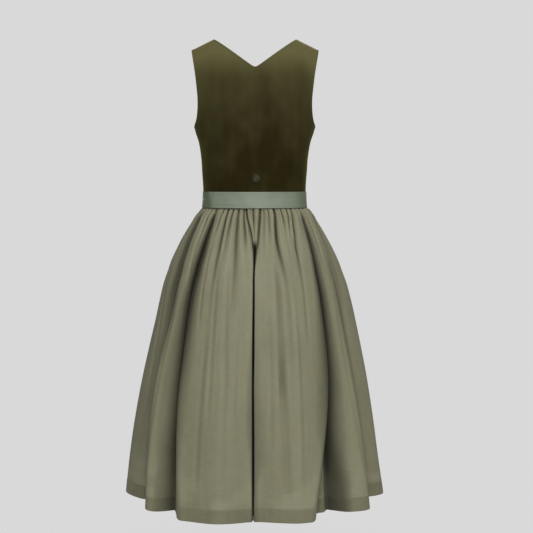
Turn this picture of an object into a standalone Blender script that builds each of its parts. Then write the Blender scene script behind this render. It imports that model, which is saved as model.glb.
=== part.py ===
"""Dirndl dress, worn and filled out with no wearer: its cloth as thin closed walls, at real size.

The dress is sewn from a sleeveless velvet bodice (one back, two fronts), a flat ribbon waistband that covers
the waist seam, and a full skirt cut in four panels and gathered into that seam. One button sits on the back
just above the band. Neck, armholes and hem are open, and the body inside is hollow.

Frame: metres, +Z up. The origin is midway between the shoulders, at the height where the wearer's shoulders
carry the straps. The wearer's front faces -Y, the back +Y, and the wearer's left is +X. Angles round the
body are measured in degrees from the back centre (+Y) towards the wearer's left (+X).
"""

import math
from dataclasses import dataclass

import bmesh
import bpy
import numpy as np

# ---------------------------------------------------------------- driving dimensions, in metres

SEAM_GAP = 0.0003  # between any two pieces that meet
VELVET_WALL = 0.0014  # bodice cloth with its turned edges
SKIRT_WALL = 0.0011  # skirt cloth
BAND_WALL = 0.0012  # ribbon band

NECK_POINT_X, NECK_POINT_Z = 0.1053, 0.0095  # where neckline and shoulder seam meet
SHOULDER_TIP_X, SHOULDER_TIP_Z = 0.1612, -0.0175  # outer end of the shoulder seam
UNDERARM_Z = -0.2119  # top of the side seam
WAIST_SEAM_Z = -0.3970  # bodice and skirt meet here, under the band
BAND_TOP_Z, BAND_BOTTOM_Z = -0.3752, -0.4187
BACK_NECK_TIP_Z = -0.0675  # bottom of the back V
FRONT_NECK_TIP_Z = -0.1800  # bottom of the front V
WAIST_HALF_WIDTH = 0.1310
WAIST_BACK_DEPTH, WAIST_FRONT_DEPTH = 0.0985, 0.0965
HEM_HALF_WIDTH = 0.3358
HEM_BACK_DEPTH, HEM_FRONT_DEPTH = 0.2760, 0.2500
HEM_DROP = 0.7670  # from the waist seam down to the hem

BUTTON_X, BUTTON_Z = -0.0046, -0.3405
BUTTON_RADIUS, BUTTON_THICKNESS = 0.0110, 0.0034

GATHER_SHARES = (0.0, 0.17, 0.38, 0.62, 0.83)  # columns of one gather, valley to valley


# ---------------------------------------------------------------- small helpers


def smooth(x):
    """Ease from 0 to 1 with flat ends."""
    x = np.clip(x, 0.0, 1.0)
    return x * x * (3.0 - 2.0 * x)


def curve_through(rows, at):
    """Smooth monotone-friendly curve through (x, y) rows, evaluated at the given x."""
    xs, ys = np.array(rows, float).T
    slopes = np.gradient(ys, xs)
    at = np.clip(at, xs[0], xs[-1])
    i = np.clip(np.searchsorted(xs, at, side="right") - 1, 0, len(xs) - 2)
    step = xs[i + 1] - xs[i]
    f = (at - xs[i]) / step
    return (
        ys[i] * (1 + 2 * f) * (1 - f) ** 2
        + slopes[i] * step * f * (1 - f) ** 2
        + ys[i + 1] * f * f * (3 - 2 * f)
        + slopes[i + 1] * step * f * f * (f - 1)
    )


# ---------------------------------------------------------------- bodice form

# Half width of the bodice at the side seam: height, half width.
SIDE_SEAM = (
    (-0.4030, 0.1310),
    (-0.3757, 0.1310),
    (-0.3497, 0.1323),
    (-0.3237, 0.1343),
    (-0.2977, 0.1356),
    (-0.2717, 0.1387),
    (-0.2457, 0.1437),
    (-0.2250, 0.1507),
    (UNDERARM_Z, 0.1542),
)
# Edge of the armhole on the back and on the front: height, half width on the back, half width on the front.
ARMHOLE = (
    (UNDERARM_Z, 0.1542, 0.1542),
    (-0.2085, 0.1530, 0.1527),
    (-0.1990, 0.1487, 0.1475),
    (-0.1750, 0.1440, 0.1390),
    (-0.1450, 0.1430, 0.1352),
    (-0.1150, 0.1456, 0.1368),
    (-0.0800, 0.1499, 0.1430),
    (-0.0450, 0.1560, 0.1525),
    (SHOULDER_TIP_Z, SHOULDER_TIP_X, SHOULDER_TIP_X),
)
# Half width of the rounded body under the straps, past the armhole's edge: height, half width.
BODY_WIDTH = (
    *SIDE_SEAM,
    (-0.2085, 0.1555),
    (-0.1990, 0.1590),
    (-0.1650, 0.1720),
    (-0.1200, 0.1810),
    (0.0600, 0.1880),
)
# Depth of the body at its centre line: height, back depth, front depth.
BODY_DEPTH = (
    (-0.4030, WAIST_BACK_DEPTH, WAIST_FRONT_DEPTH),
    (-0.3500, 0.0990, 0.0980),
    (-0.3000, 0.1030, 0.1020),
    (-0.2500, 0.1085, 0.1060),
    (-0.2000, 0.1120, 0.1050),
    (-0.1500, 0.1125, 0.0990),
    (-0.1000, 0.1100, 0.0920),
    (0.0600, 0.1000, 0.0820),
)
SHOULDER_START_Z = -0.1350  # above this the cloth begins to roll over the shoulder
SHOULDER_ROLL = 2.3  # squareness of that roll
BUST_X, BUST_Z, BUST_FULLNESS = 0.0820, -0.2350, 0.0270
BUST_SPREAD_X, BUST_SPREAD_UP, BUST_SPREAD_DOWN = 0.0500, 0.0480, 0.0700
SQUARENESS = 0.10  # how far the plan of the waist and bodice is fuller than an ellipse
UNDERARM_EASE = 0.0006  # the side seam opens by this much at its top, where the armholes turn away
LEAN = -0.0021  # the top of the bodice leans this far to the wearer's right
NECK_COLUMN = 0.5  # share of a half bodice's columns that end on the neckline
BODICE_COLUMNS = 14  # of each half bodice
ROWS_BELOW_ARM, ROWS_OVER_ARM, ROWS_OVER_SHOULDER = 5, 3, 6
ARMHOLE_TURN = (0.0030, 0.0110)  # more rows just above the underarm, where the armhole turns up


def shoulder_z(x):
    """Height of the shoulder line at a distance x from the centre."""
    fall = (NECK_POINT_Z - SHOULDER_TIP_Z) / (SHOULDER_TIP_X - NECK_POINT_X)
    return NECK_POINT_Z + fall * (NECK_POINT_X - x)


def body_depth(x, z, front):
    """Distance of the outer cloth from the side plane at a point of the bodice."""
    column = 2 if front else 1
    depth = curve_through([(row[0], row[column]) for row in BODY_DEPTH], z)
    across = np.clip(np.abs(x) / curve_through(BODY_WIDTH, z), 0.0, 1.0)
    depth = depth * np.sqrt(1.0 - across**2) * (1.0 + SQUARENESS * across**2)
    if front:
        spread_z = np.where(z > BUST_Z, BUST_SPREAD_UP, BUST_SPREAD_DOWN)
        fullness = BUST_FULLNESS * np.sqrt(1.0 - across**2) * smooth((z - BAND_TOP_Z) / (BUST_Z - BAND_TOP_Z))
        for side in (-1, 1):
            away = ((x - side * BUST_X) / BUST_SPREAD_X) ** 2 + ((z - BUST_Z) / spread_z) ** 2
            depth = depth + fullness * np.exp(-0.5 * away)
    rise = np.clip((z - SHOULDER_START_Z) / (shoulder_z(np.abs(x)) - SHOULDER_START_Z), 0.0, 1.0)
    return depth * (1.0 - rise**SHOULDER_ROLL) ** (1.0 / SHOULDER_ROLL)


def neckline_z(x, front):
    """Height of the neckline at a distance x from the centre: a V with a barely rounded tip."""
    tip = FRONT_NECK_TIP_Z if front else BACK_NECK_TIP_Z
    round_tip = 0.05
    share = np.sqrt((x / NECK_POINT_X) ** 2 + round_tip**2) - round_tip
    share = share / (math.sqrt(1.0 + round_tip**2) - round_tip)
    bow = 0.10 * np.sin(math.pi * share) if front else 0.0
    return tip + (NECK_POINT_Z - tip) * (share - bow)


def row_shares():
    """Heights of the rows above the underarm, as shares of the way to the top edge."""
    straight = np.linspace(UNDERARM_Z, SHOULDER_START_Z, ROWS_OVER_ARM + 1)[:-1]
    straight = np.sort(np.append(straight, UNDERARM_Z + np.array(ARMHOLE_TURN)))
    turn = np.sin(np.linspace(0.0, math.pi / 2, ROWS_OVER_SHOULDER + 1)) ** (2.0 / SHOULDER_ROLL)
    rolled = SHOULDER_START_Z + (SHOULDER_TIP_Z - SHOULDER_START_Z) * turn
    heights = np.concatenate([straight, rolled])
    return (heights - UNDERARM_Z) / (SHOULDER_TIP_Z - UNDERARM_Z)


def half_bodice(front, first_column):
    """Grid of outer points of one half (wearer's left), rows from the waist up, columns from the centre out.

    first_column is the distance of its centre edge from the middle of the dress.
    """
    q = np.linspace(0.0, 1.0, BODICE_COLUMNS + 1)
    over_waist = np.sin(q * math.pi / 2)
    to_neck = np.minimum(q / NECK_COLUMN, 1.0)
    to_tip = np.maximum(q - NECK_COLUMN, 0.0) / (1.0 - NECK_COLUMN)
    top_x = NECK_POINT_X * to_neck + (SHOULDER_TIP_X - NECK_POINT_X) * to_tip
    top_z = np.where(q <= NECK_COLUMN, neckline_z(top_x, front), shoulder_z(top_x))
    edge = [(row[0], row[2 if front else 1]) for row in ARMHOLE]
    rows = []
    over_band = np.linspace(BAND_TOP_Z, UNDERARM_Z, ROWS_BELOW_ARM + 1)[:-1]
    for z in (WAIST_SEAM_Z + SEAM_GAP / 2, *over_band):
        rows.append((curve_through(SIDE_SEAM, z) * over_waist, np.full_like(q, z)))
    for share in row_shares():
        edge_z = UNDERARM_Z + (SHOULDER_TIP_Z - UNDERARM_Z) * share
        lean = (1.0 - share) * over_waist + share * top_x / SHOULDER_TIP_X
        rows.append((curve_through(edge, edge_z) * lean, UNDERARM_Z + (top_z - UNDERARM_Z) * share))
    grid = []
    for x, z in rows:
        x = np.maximum(x, first_column)
        ease = UNDERARM_EASE if z[-1] >= UNDERARM_Z else 0.0
        y = np.maximum(body_depth(x, z, front), SEAM_GAP / 2 + ease)
        grid.append(np.stack([x, -y if front else y, z], axis=1))
    return np.array(grid)


def leant(grid):
    """The grid with its top moved a little sideways, growing evenly from the band up to the shoulders."""
    moved = grid.copy()
    moved[..., 0] += LEAN * np.maximum(grid[..., 2] - BAND_TOP_Z, 0.0) / -BAND_TOP_Z
    return moved


def mirrored(grid):
    """The grid of the wearer's right side, columns from the outside in."""
    return (grid * np.array([-1.0, 1.0, 1.0]))[:, ::-1]


# ---------------------------------------------------------------- skirt form


@dataclass(frozen=True)
class Gather:
    """One narrow valley of the gathered cloth. A column of the skirt's mesh runs down its bottom.

    Angles are at the band, at the upper and the middle station of the skirt, and at the hem. depth is its
    depth close under the band, which has faded at the share `fade` of the skirt's length. crease is the depth
    that it has at the hem.
    """

    name: str
    band: float
    upper: float
    middle: float
    hem: float
    depth: float
    fade: float
    crease: float = 0.0


@dataclass(frozen=True)
class Trough:
    """One broad valley between two of the skirt's large flutes.

    Angles are as in a gather. depth is reached at the hem. toward_back and toward_front are its half widths
    in degrees, on the side that faces the centre back and on the other. swell is the power of its growth down
    the skirt: the smaller, the earlier.
    """

    name: str
    band: float
    upper: float
    middle: float
    hem: float
    depth: float
    toward_back: float
    toward_front: float
    swell: float = 0.58


STATIONS = (0.0, 0.22, 0.55, 1.0)  # shares of the way down at which a fold's angles are given
GATHERS = (
    Gather("centre_back", -0.5, -0.3, 0.0, 0.0, 0.0000, 0.20),
    Gather("back_l1", 4.1, 1.1, 1.0, 1.0, 0.0090, 0.20),
    Gather("back_l2", 8.7, 3.6, 3.2, 3.4, 0.0085, 0.20),
    Gather("back_l3", 12.0, 8.4, 8.0, 8.0, 0.0050, 0.10),
    Gather("back_l4", 15.8, 12.8, 13.5, 14.0, 0.0070, 0.45, 0.0015),
    Gather("back_l5", 23.5, 20.0, 19.5, 19.5, 0.0050, 0.12),
    Gather("back_l6", 29.7, 26.8, 25.5, 25.0, 0.0085, 0.55, 0.0030),
    Gather("back_l7", 36.8, 34.5, 35.5, 31.5, 0.0050, 0.12),
    Gather("valley_l1", 47.0, 43.5, 47.0, 45.5, 0.0130, 0.70, 0.0200),
    Gather("side_l1", 55.0, 51.5, 54.5, 52.0, 0.0050, 0.14),
    Gather("side_l2", 63.0, 58.5, 61.0, 58.5, 0.0075, 0.22),
    Gather("valley_l2", 73.0, 66.5, 70.0, 65.0, 0.0115, 0.60, 0.0100),
    Gather("side_l3", 82.0, 78.0, 80.0, 78.0, 0.0065, 0.18),
    Gather("side_l4", 91.0, 89.0, 88.5, 88.0, 0.0055, 0.16),
    Gather("side_l", 98.0, 98.0, 98.0, 98.0, 0.0075, 0.32, 0.0050),
    Gather("front_l1", 105.0, 105.5, 106.0, 106.0, 0.0060, 0.16),
    Gather("front_l2", 112.0, 112.5, 114.0, 114.0, 0.0105, 0.50, 0.0140),
    Gather("front_l3", 120.0, 120.0, 121.0, 121.0, 0.0060, 0.16),
    Gather("front_l4", 127.5, 127.5, 127.0, 126.5, 0.0080, 0.35, 0.0020),
    Gather("front_l5", 134.0, 134.0, 133.0, 132.5, 0.0055, 0.15),
    Gather("front_l6", 142.5, 142.0, 141.0, 141.5, 0.0105, 0.55, 0.0160),
    Gather("front_l7", 151.0, 151.0, 150.5, 150.5, 0.0065, 0.18),
    Gather("front_l8", 160.5, 160.0, 160.0, 160.5, 0.0080, 0.40, 0.0020),
    Gather("front_l9", 170.0, 169.5, 170.0, 170.0, 0.0060, 0.16),
    Gather("centre_front", 180.0, 180.0, 180.5, 180.0, 0.0085, 0.45, 0.0100),
    Gather("front_r9", 190.0, 190.5, 191.0, 190.5, 0.0060, 0.18),
    Gather("front_r8", 199.5, 199.5, 199.0, 199.5, 0.0075, 0.30, 0.0020),
    Gather("front_r7", 208.0, 208.5, 208.0, 208.5, 0.0055, 0.15),
    Gather("front_r6", 217.0, 217.5, 219.0, 218.5, 0.0105, 0.55, 0.0160),
    Gather("front_r5", 226.0, 227.0, 227.5, 227.5, 0.0060, 0.18),
    Gather("front_r4", 234.5, 235.5, 236.0, 236.5, 0.0080, 0.38, 0.0020),
    Gather("front_r3", 243.0, 244.5, 246.0, 246.0, 0.0100, 0.50, 0.0120),
    Gather("front_r2", 251.0, 252.5, 254.0, 254.0, 0.0060, 0.18),
    Gather("side_r", 262.0, 262.0, 262.0, 262.0, 0.0070, 0.30, 0.0050),
    Gather("side_r4", 271.0, 275.0, 272.0, 270.5, 0.0070, 0.18),
    Gather("valley_r2", 280.0, 289.0, 286.5, 283.5, 0.0105, 0.55, 0.0120),
    Gather("side_r3", 286.5, 294.5, 293.0, 292.0, 0.0060, 0.14),
    Gather("side_r2", 293.0, 301.0, 301.0, 304.0, 0.0070, 0.20),
    Gather("valley_r1", 303.0, 310.5, 311.5, 317.5, 0.0112, 0.70, 0.0180),
    Gather("back_r8", 312.0, 316.0, 316.5, 326.0, 0.0045, 0.14),
    Gather("back_r7", 319.0, 322.5, 323.0, 331.0, 0.0030, 0.10),
    Gather("back_r6", 325.2, 330.5, 330.0, 336.0, 0.0070, 0.45, 0.0015),
    Gather("back_r5", 332.0, 336.5, 337.0, 341.5, 0.0050, 0.10),
    Gather("back_r4", 337.2, 341.6, 342.0, 347.0, 0.0100, 0.35, 0.0030),
    Gather("back_r3", 343.5, 348.0, 349.5, 351.5, 0.0050, 0.10),
    Gather("back_r2", 350.6, 354.4, 356.0, 356.2, 0.0045, 0.12),
    Gather("back_r1", 354.9, 358.4, 359.0, 359.0, 0.0090, 0.20),
)
TROUGHS = (
    Trough("centre_back", 0.0, 0.0, 0.0, 0.0, 0.029, 20.0, 18.0, 0.90),
    Trough("left_1", 47.0, 44.5, 47.0, 41.5, 0.043, 10.0, 14.0),
    Trough("left_2", 73.0, 67.0, 69.5, 62.5, 0.040, 12.5, 28.0),
    Trough("left_3", 112.0, 112.5, 114.0, 114.0, 0.030, 13.0, 11.0),
    Trough("left_4", 142.5, 142.0, 141.0, 141.5, 0.032, 14.0, 12.0),
    Trough("centre_front", 180.0, 180.0, 180.5, 180.0, 0.026, 14.0, 14.0),
    Trough("right_4", 217.0, 217.5, 219.0, 218.5, 0.034, 13.0, 13.0),
    Trough("right_3", 243.0, 244.5, 246.0, 246.0, 0.028, 12.0, 11.0),
    Trough("right_2", 280.0, 289.0, 287.0, 284.5, 0.040, 16.0, 14.0),
    Trough("right_1", 303.0, 310.0, 312.0, 325.5, 0.062, 10.0, 25.0, 0.80),
)
# Side outline of the skirt: drop below the waist seam, half width on the wearer's left, half width on the right.
SKIRT_OUTLINE = (
    (0.0000, 0.1312, 0.1312),
    (0.0120, 0.1316, 0.1316),
    (0.0225, 0.1324, 0.1324),
    (0.0256, 0.1408, 0.1421),
    (0.0385, 0.1519, 0.1514),
    (0.0513, 0.1605, 0.1624),
    (0.0770, 0.1768, 0.1779),
    (0.1027, 0.1917, 0.1922),
    (0.1284, 0.2043, 0.2058),
    (0.1541, 0.2161, 0.2174),
    (0.1798, 0.2248, 0.2266),
    (0.2055, 0.2339, 0.2362),
    (0.2569, 0.2467, 0.2505),
    (0.3083, 0.2580, 0.2621),
    (0.3597, 0.2712, 0.2729),
    (0.4625, 0.2955, 0.2932),
    (0.5653, 0.3142, 0.3089),
    (0.6681, 0.3286, 0.3222),
    (HEM_DROP, 0.3390, HEM_HALF_WIDTH),
)
COVERED_SHARE = 0.0285  # of the skirt's length, under the band
SKIRT_ROWS = (0.0, COVERED_SHARE, 0.038, 0.060, 0.095, 0.145, 0.21, 0.30, 0.44, 0.68, 1.0)
FINE_STEPS = 240
SLIT_START, SLIT_CLOSED = 0.14, 0.26  # shares of the way down where the centre back fold begins and is a slit
SLIT_DEPTH, SLIT_HALF_ANGLE = 0.075, 0.95
BACK_SEAM_EASE = 0.0005  # more gap at the centre back seam, which runs over a narrow ridge under the band


def outline_by_length():
    """The side outline evenly spaced by cloth length: share of it, half width left and right, drop."""
    rows = np.array(SKIRT_OUTLINE)
    drop = np.linspace(0.0, HEM_DROP, 4 * FINE_STEPS)
    left = np.interp(drop, rows[:, 0], rows[:, 1])
    right = np.interp(drop, rows[:, 0], rows[:, 2])
    along = np.concatenate([[0.0], np.cumsum(np.hypot(np.diff(drop), np.diff(left + right) / 2))])
    share = np.linspace(0.0, 1.0, FINE_STEPS + 1)
    return share, *(np.interp(share, along / along[-1], values) for values in (left, right, drop))


def fold_angle(fold, share):
    """Angle of a fold in degrees at a share of the way down."""
    return np.interp(share, STATIONS, (fold.band, fold.upper, fold.middle, fold.hem))


def turned_from(angle, fold, share):
    """Signed angle from a fold to a column, in degrees, positive away from the wearer's left."""
    return (angle - fold_angle(fold, share) + 180.0) % 360.0 - 180.0


def bell(away):
    """Depth of a valley, 1 at its bottom and 0 at its shoulders."""
    return 1.0 - smooth(np.abs(away))


def fold_depth(angle, share, place, left, right):
    """How far the cloth lies inside the skirt's envelope, for one column of points down the skirt.

    left and right are the gathers beside the column, and place is its place between them.
    """
    emerging = 0.30 + 0.70 * smooth((share - COVERED_SHARE) / 0.035)
    depth = np.zeros_like(share)
    for fold, near in ((left, place), (right, 1.0 - place)):
        wave = math.cos(math.pi * min(near, 0.5)) ** 2
        depth += fold.depth * wave * emerging * (1.0 - smooth((share - 0.05) / fold.fade))
    for fold in GATHERS:
        if fold.crease:
            half = 3.4 + 2.6 * share
            depth += fold.crease * smooth((share - 0.03) / 0.45) * bell(turned_from(angle, fold, share) / half)
    for trough in TROUGHS:
        away = turned_from(angle, trough, share)
        on_left = trough.hem < 180.0
        low, high = trough.toward_back, trough.toward_front
        half = np.where(away < 0, low if on_left else high, high if on_left else low)
        depth += trough.depth * smooth(share / 1.05) ** trough.swell * bell(away / half)
    return depth + slit_depth(angle, share)


def slit_depth(angle, share):
    """Depth of the inverted fold at the centre back, whose two sides nearly touch."""
    away = turned_from(angle, GATHERS[0], share)
    opening = smooth((share - SLIT_START) / (SLIT_CLOSED - SLIT_START))
    half = SLIT_HALF_ANGLE * (1.0 + 1.6 * (1.0 - opening))
    return SLIT_DEPTH * opening * (0.35 + 0.65 * smooth(share / 0.6)) * bell(away / half)


def skirt_column(left, right, place, edge_shift=0.0):
    """Outer points of one column of the skirt, from the waist seam to the hem, on the fine steps.

    edge_shift moves it along the cloth, away from a seam.
    """
    share, half_left, half_right, drop = outline_by_length()
    start, end = fold_angle(left, share), fold_angle(right, share)
    end = np.where(end < start, end + 360.0, end)
    angle = start + (end - start) * place
    turn = np.radians(angle)
    width = np.where(np.sin(turn) > 0, half_left, half_right)
    growth = (width - WAIST_HALF_WIDTH) / (HEM_HALF_WIDTH - WAIST_HALF_WIDTH)
    back = WAIST_BACK_DEPTH + (HEM_BACK_DEPTH - WAIST_BACK_DEPTH) * growth
    front = WAIST_FRONT_DEPTH + (HEM_FRONT_DEPTH - WAIST_FRONT_DEPTH) * growth
    square = 1.0 + SQUARENESS * (1.0 - smooth(4.0 * growth)) * np.sin(turn) ** 2
    deep = np.where(np.cos(turn) > 0, back, front) * square
    envelope = np.stack([width * np.sin(turn), deep * np.cos(turn)], axis=1)
    outward = np.stack([np.sin(turn) / width, np.cos(turn) / deep], axis=1)
    outward /= np.linalg.norm(outward, axis=1, keepdims=True)
    along = np.stack([outward[:, 1], -outward[:, 0]], axis=1)
    depth = fold_depth(angle, share, place, left, right)
    plan = envelope - outward * depth[:, None] + along * edge_shift
    return np.column_stack([plan, WAIST_SEAM_Z - SEAM_GAP / 2 - drop])


def skirt_panel(first, last):
    """Grid of outer points of the panel between two gathers, rows from the hem up."""
    count = len(GATHERS)
    names = [fold.name for fold in GATHERS]
    begin, stop = names.index(first), names.index(last)
    stop += count if stop <= begin else 0
    inset = {name: SEAM_GAP / 2 + (BACK_SEAM_EASE if name == "centre_back" else 0.0) for name in (first, last)}
    columns = []
    for i in range(begin, stop):
        left, right = GATHERS[i % count], GATHERS[(i + 1) % count]
        for place in GATHER_SHARES:
            shift = inset[first] if i == begin and place == 0.0 else 0.0
            columns.append(skirt_column(left, right, place, shift))
    columns.append(skirt_column(GATHERS[(stop - 1) % count], GATHERS[stop % count], 1.0, -inset[last]))
    fine = np.array(columns)
    at = np.array(SKIRT_ROWS) * FINE_STEPS
    low = np.minimum(at.astype(int), FINE_STEPS - 1)
    part = (at - low)[None, :, None]
    return ((1.0 - part) * fine[:, low] + part * fine[:, low + 1]).transpose(1, 0, 2)[::-1]


# ---------------------------------------------------------------- Blender objects


def material(name, colour, roughness, sheen=0.0):
    """A plain cloth material."""
    made = bpy.data.materials.new(name)
    made.use_nodes = True
    shader = made.node_tree.nodes["Principled BSDF"]
    shader.inputs["Base Color"].default_value = (*colour, 1.0)
    shader.inputs["Roughness"].default_value = roughness
    shader.inputs["Sheen Weight"].default_value = sheen
    return made


def cloth(name, grid, wall, finish, collection):
    """A piece of cloth: an open surface through the grid's points, thickened inwards by Solidify.

    The grid's rows run up and its columns clockwise seen from above, so that the faces point outwards.
    """
    rows, columns = grid.shape[:2]
    mesh = bpy.data.meshes.new(name)
    shell = bmesh.new()
    points = [[shell.verts.new(point) for point in row] for row in grid]
    for i in range(rows - 1):
        for j in range(columns - 1):
            shell.faces.new((points[i][j], points[i + 1][j], points[i + 1][j + 1], points[i][j + 1]))
    shell.to_mesh(mesh)
    shell.free()
    mesh.materials.append(finish)
    mesh.shade_smooth()
    made = bpy.data.objects.new(name, mesh)
    collection.objects.link(made)
    thicken = made.modifiers.new("wall", "SOLIDIFY")
    thicken.thickness = wall
    thicken.offset = -1.0
    return made


def bodice(collection, finish):
    """The back in one piece and the two fronts, which meet edge to edge at the centre front."""
    back = half_bodice(front=False, first_column=0.0)
    whole_back = np.concatenate([mirrored(back), back[:, 1:]], axis=1)
    cloth("bodice_back", leant(whole_back), VELVET_WALL, finish, collection)
    front = half_bodice(front=True, first_column=SEAM_GAP / 2)
    cloth("bodice_front_left", leant(front)[:, ::-1], VELVET_WALL, finish, collection)
    cloth("bodice_front_right", leant(mirrored(front))[:, ::-1], VELVET_WALL, finish, collection)


def skirt(collection, finish):
    """Four gathered panels, seamed in the folds at the centre back, the sides and the centre front."""
    panels = {
        "skirt_back_left": ("centre_back", "side_l"),
        "skirt_front_left": ("side_l", "centre_front"),
        "skirt_front_right": ("centre_front", "side_r"),
        "skirt_back_right": ("side_r", "centre_back"),
    }
    for name, (first, last) in panels.items():
        cloth(name, skirt_panel(first, last), SKIRT_WALL, finish, collection)


def waistband(collection, finish):
    """A flat ribbon round the waist seam, its ends meeting at the centre front."""
    opening = math.degrees(SEAM_GAP / WAIST_FRONT_DEPTH)
    turn = np.radians(np.linspace(-180.0 + opening, 180.0 - opening, 73))
    rows = []
    for z, flare in ((BAND_BOTTOM_Z, 0.0044), (-0.4060, 0.0030), (-0.3900, 0.0022), (BAND_TOP_Z, 0.0020)):
        width = WAIST_HALF_WIDTH + flare
        deep = np.where(np.cos(turn) > 0, WAIST_BACK_DEPTH, WAIST_FRONT_DEPTH) + flare
        deep = deep * (1.0 + SQUARENESS * np.sin(turn) ** 2)
        rows.append(np.stack([width * np.sin(turn), deep * np.cos(turn), np.full_like(turn, z)], axis=1))
    cloth("waistband", np.array(rows), BAND_WALL, finish, collection)


def back_button(collection, finish):
    """A round button with a raised rim and a shallow dome, lying on the back of the bodice."""
    above = float(body_depth(np.array(BUTTON_X), np.array(BUTTON_Z + BUTTON_RADIUS), front=False))
    below = float(body_depth(np.array(BUTTON_X), np.array(BUTTON_Z - BUTTON_RADIUS), front=False))
    lean = math.atan2(above - below, 2 * BUTTON_RADIUS)
    seat = (above + below) / 2 + 2 * SEAM_GAP
    rim, groove = BUTTON_RADIUS, BUTTON_RADIUS * 0.72
    profile = (
        (0.0, BUTTON_THICKNESS * 0.95),
        (groove * 0.60, BUTTON_THICKNESS * 0.86),
        (groove, BUTTON_THICKNESS * 0.55),
        (rim * 0.84, BUTTON_THICKNESS),
        (rim * 0.96, BUTTON_THICKNESS * 0.86),
        (rim, BUTTON_THICKNESS * 0.50),
        (rim * 0.90, 0.0),
        (0.0, 0.0),
    )
    mesh = bpy.data.meshes.new("back_button")
    shape = bmesh.new()
    points = [shape.verts.new((radius, 0.0, height)) for radius, height in profile]
    for low, high in zip(points, points[1:]):
        shape.edges.new((low, high))
    shape.to_mesh(mesh)
    shape.free()
    mesh.materials.append(finish)
    made = bpy.data.objects.new("back_button", mesh)
    made.location = (BUTTON_X, seat, BUTTON_Z)
    made.rotation_euler = (-math.pi / 2 - lean, 0.0, 0.0)
    collection.objects.link(made)
    turned = made.modifiers.new("turned", "SCREW")
    turned.steps = turned.render_steps = 20
    turned.use_merge_vertices = True
    turned.merge_threshold = 0.0001


def main():
    """Clear the scene and build the dress."""
    for old in list(bpy.data.objects):
        bpy.data.objects.remove(old)
    collection = bpy.data.collections.new("dirndl_dress")
    bpy.context.scene.collection.children.link(collection)
    velvet = material("dark_olive_velvet", (0.030, 0.026, 0.009), 0.85, 0.6)
    skirt_cloth = material("grey_olive_cotton", (0.205, 0.200, 0.135), 0.62, 0.2)
    ribbon = material("sage_ribbon", (0.215, 0.250, 0.185), 0.42, 0.1)
    horn = material("dark_horn", (0.040, 0.038, 0.018), 0.30)
    bodice(collection, velvet)
    skirt(collection, skirt_cloth)
    waistband(collection, ribbon)
    back_button(collection, horn)


main()
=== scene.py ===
"""Looks of a dirndl dress, worn and filled out with no wearer, seen from the back.

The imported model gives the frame: metres, +Z up, the back of the dress at +Y and the wearer's left at +X. Each
cloth piece is rebuilt here as a thin shell on its solid's form, with finer gathers, creases, puckers and turned
edges, and the sewing is laid along its own seam lines.
"""

import logging
import math
from dataclasses import dataclass, field, fields
from enum import Enum
from typing import Callable, Optional, Sequence

import bpy
import numpy as np
from bpy.types import Material, Mesh, Node, NodeSocket, NodeTree, Object
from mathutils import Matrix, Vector, noise


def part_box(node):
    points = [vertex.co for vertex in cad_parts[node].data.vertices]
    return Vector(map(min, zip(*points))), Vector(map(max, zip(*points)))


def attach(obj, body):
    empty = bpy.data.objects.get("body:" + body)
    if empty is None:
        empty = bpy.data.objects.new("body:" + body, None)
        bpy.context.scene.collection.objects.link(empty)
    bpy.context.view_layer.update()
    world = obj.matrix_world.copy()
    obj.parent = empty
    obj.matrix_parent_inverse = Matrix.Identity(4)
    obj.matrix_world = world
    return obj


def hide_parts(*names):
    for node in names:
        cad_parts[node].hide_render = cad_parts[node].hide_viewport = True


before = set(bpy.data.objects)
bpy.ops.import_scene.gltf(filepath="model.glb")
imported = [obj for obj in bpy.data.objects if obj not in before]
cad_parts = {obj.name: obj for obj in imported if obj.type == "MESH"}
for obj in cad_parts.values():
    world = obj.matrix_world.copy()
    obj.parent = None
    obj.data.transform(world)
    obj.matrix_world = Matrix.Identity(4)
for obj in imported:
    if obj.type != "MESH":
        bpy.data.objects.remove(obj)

log = logging.getLogger("dirndl")

ROOT_BODY = "root"
WEAVE_UV = "weave"  # the cloth's own coordinates, in metres across and along
PAINTED_SHADING = "hollow"  # painted shade in the skirt's folds, from 0 up, and painted highlight below 0 on its ridges
OUTWARD = "outward"  # the cloth's outward direction along a line of sewing

Array = np.ndarray
Table = tuple[tuple[float, ...], ...]


class Slot(Enum):
    """Material slots of the record."""

    VELVET = "velvet"
    RIBBON = "ribbon"
    SKIRT_CLOTH = "skirt_cloth"
    BUTTON = "button"


class Side(Enum):
    """Sides of the bodice."""

    BACK = "back"
    FRONT_LEFT = "front_left"
    FRONT_RIGHT = "front_right"


# ------------------------------------------------------------------ helpers for shapes


def smooth(x: Array | float) -> Array:
    """Ease from 0 to 1 with flat ends."""
    x = np.clip(x, 0.0, 1.0)
    return x * x * (3.0 - 2.0 * x)


def bell(away: Array | float) -> Array:
    """Depth of a rounded valley, 1 at its bottom and 0 at its shoulders."""
    return 1.0 - smooth(np.abs(away))


def cusp(away: Array | float) -> Array:
    """Depth of a sharp valley with soft shoulders, 1 at its bottom and 0 at its shoulders."""
    return (1.0 - np.clip(np.abs(away), 0.0, 1.0)) ** 2


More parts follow.
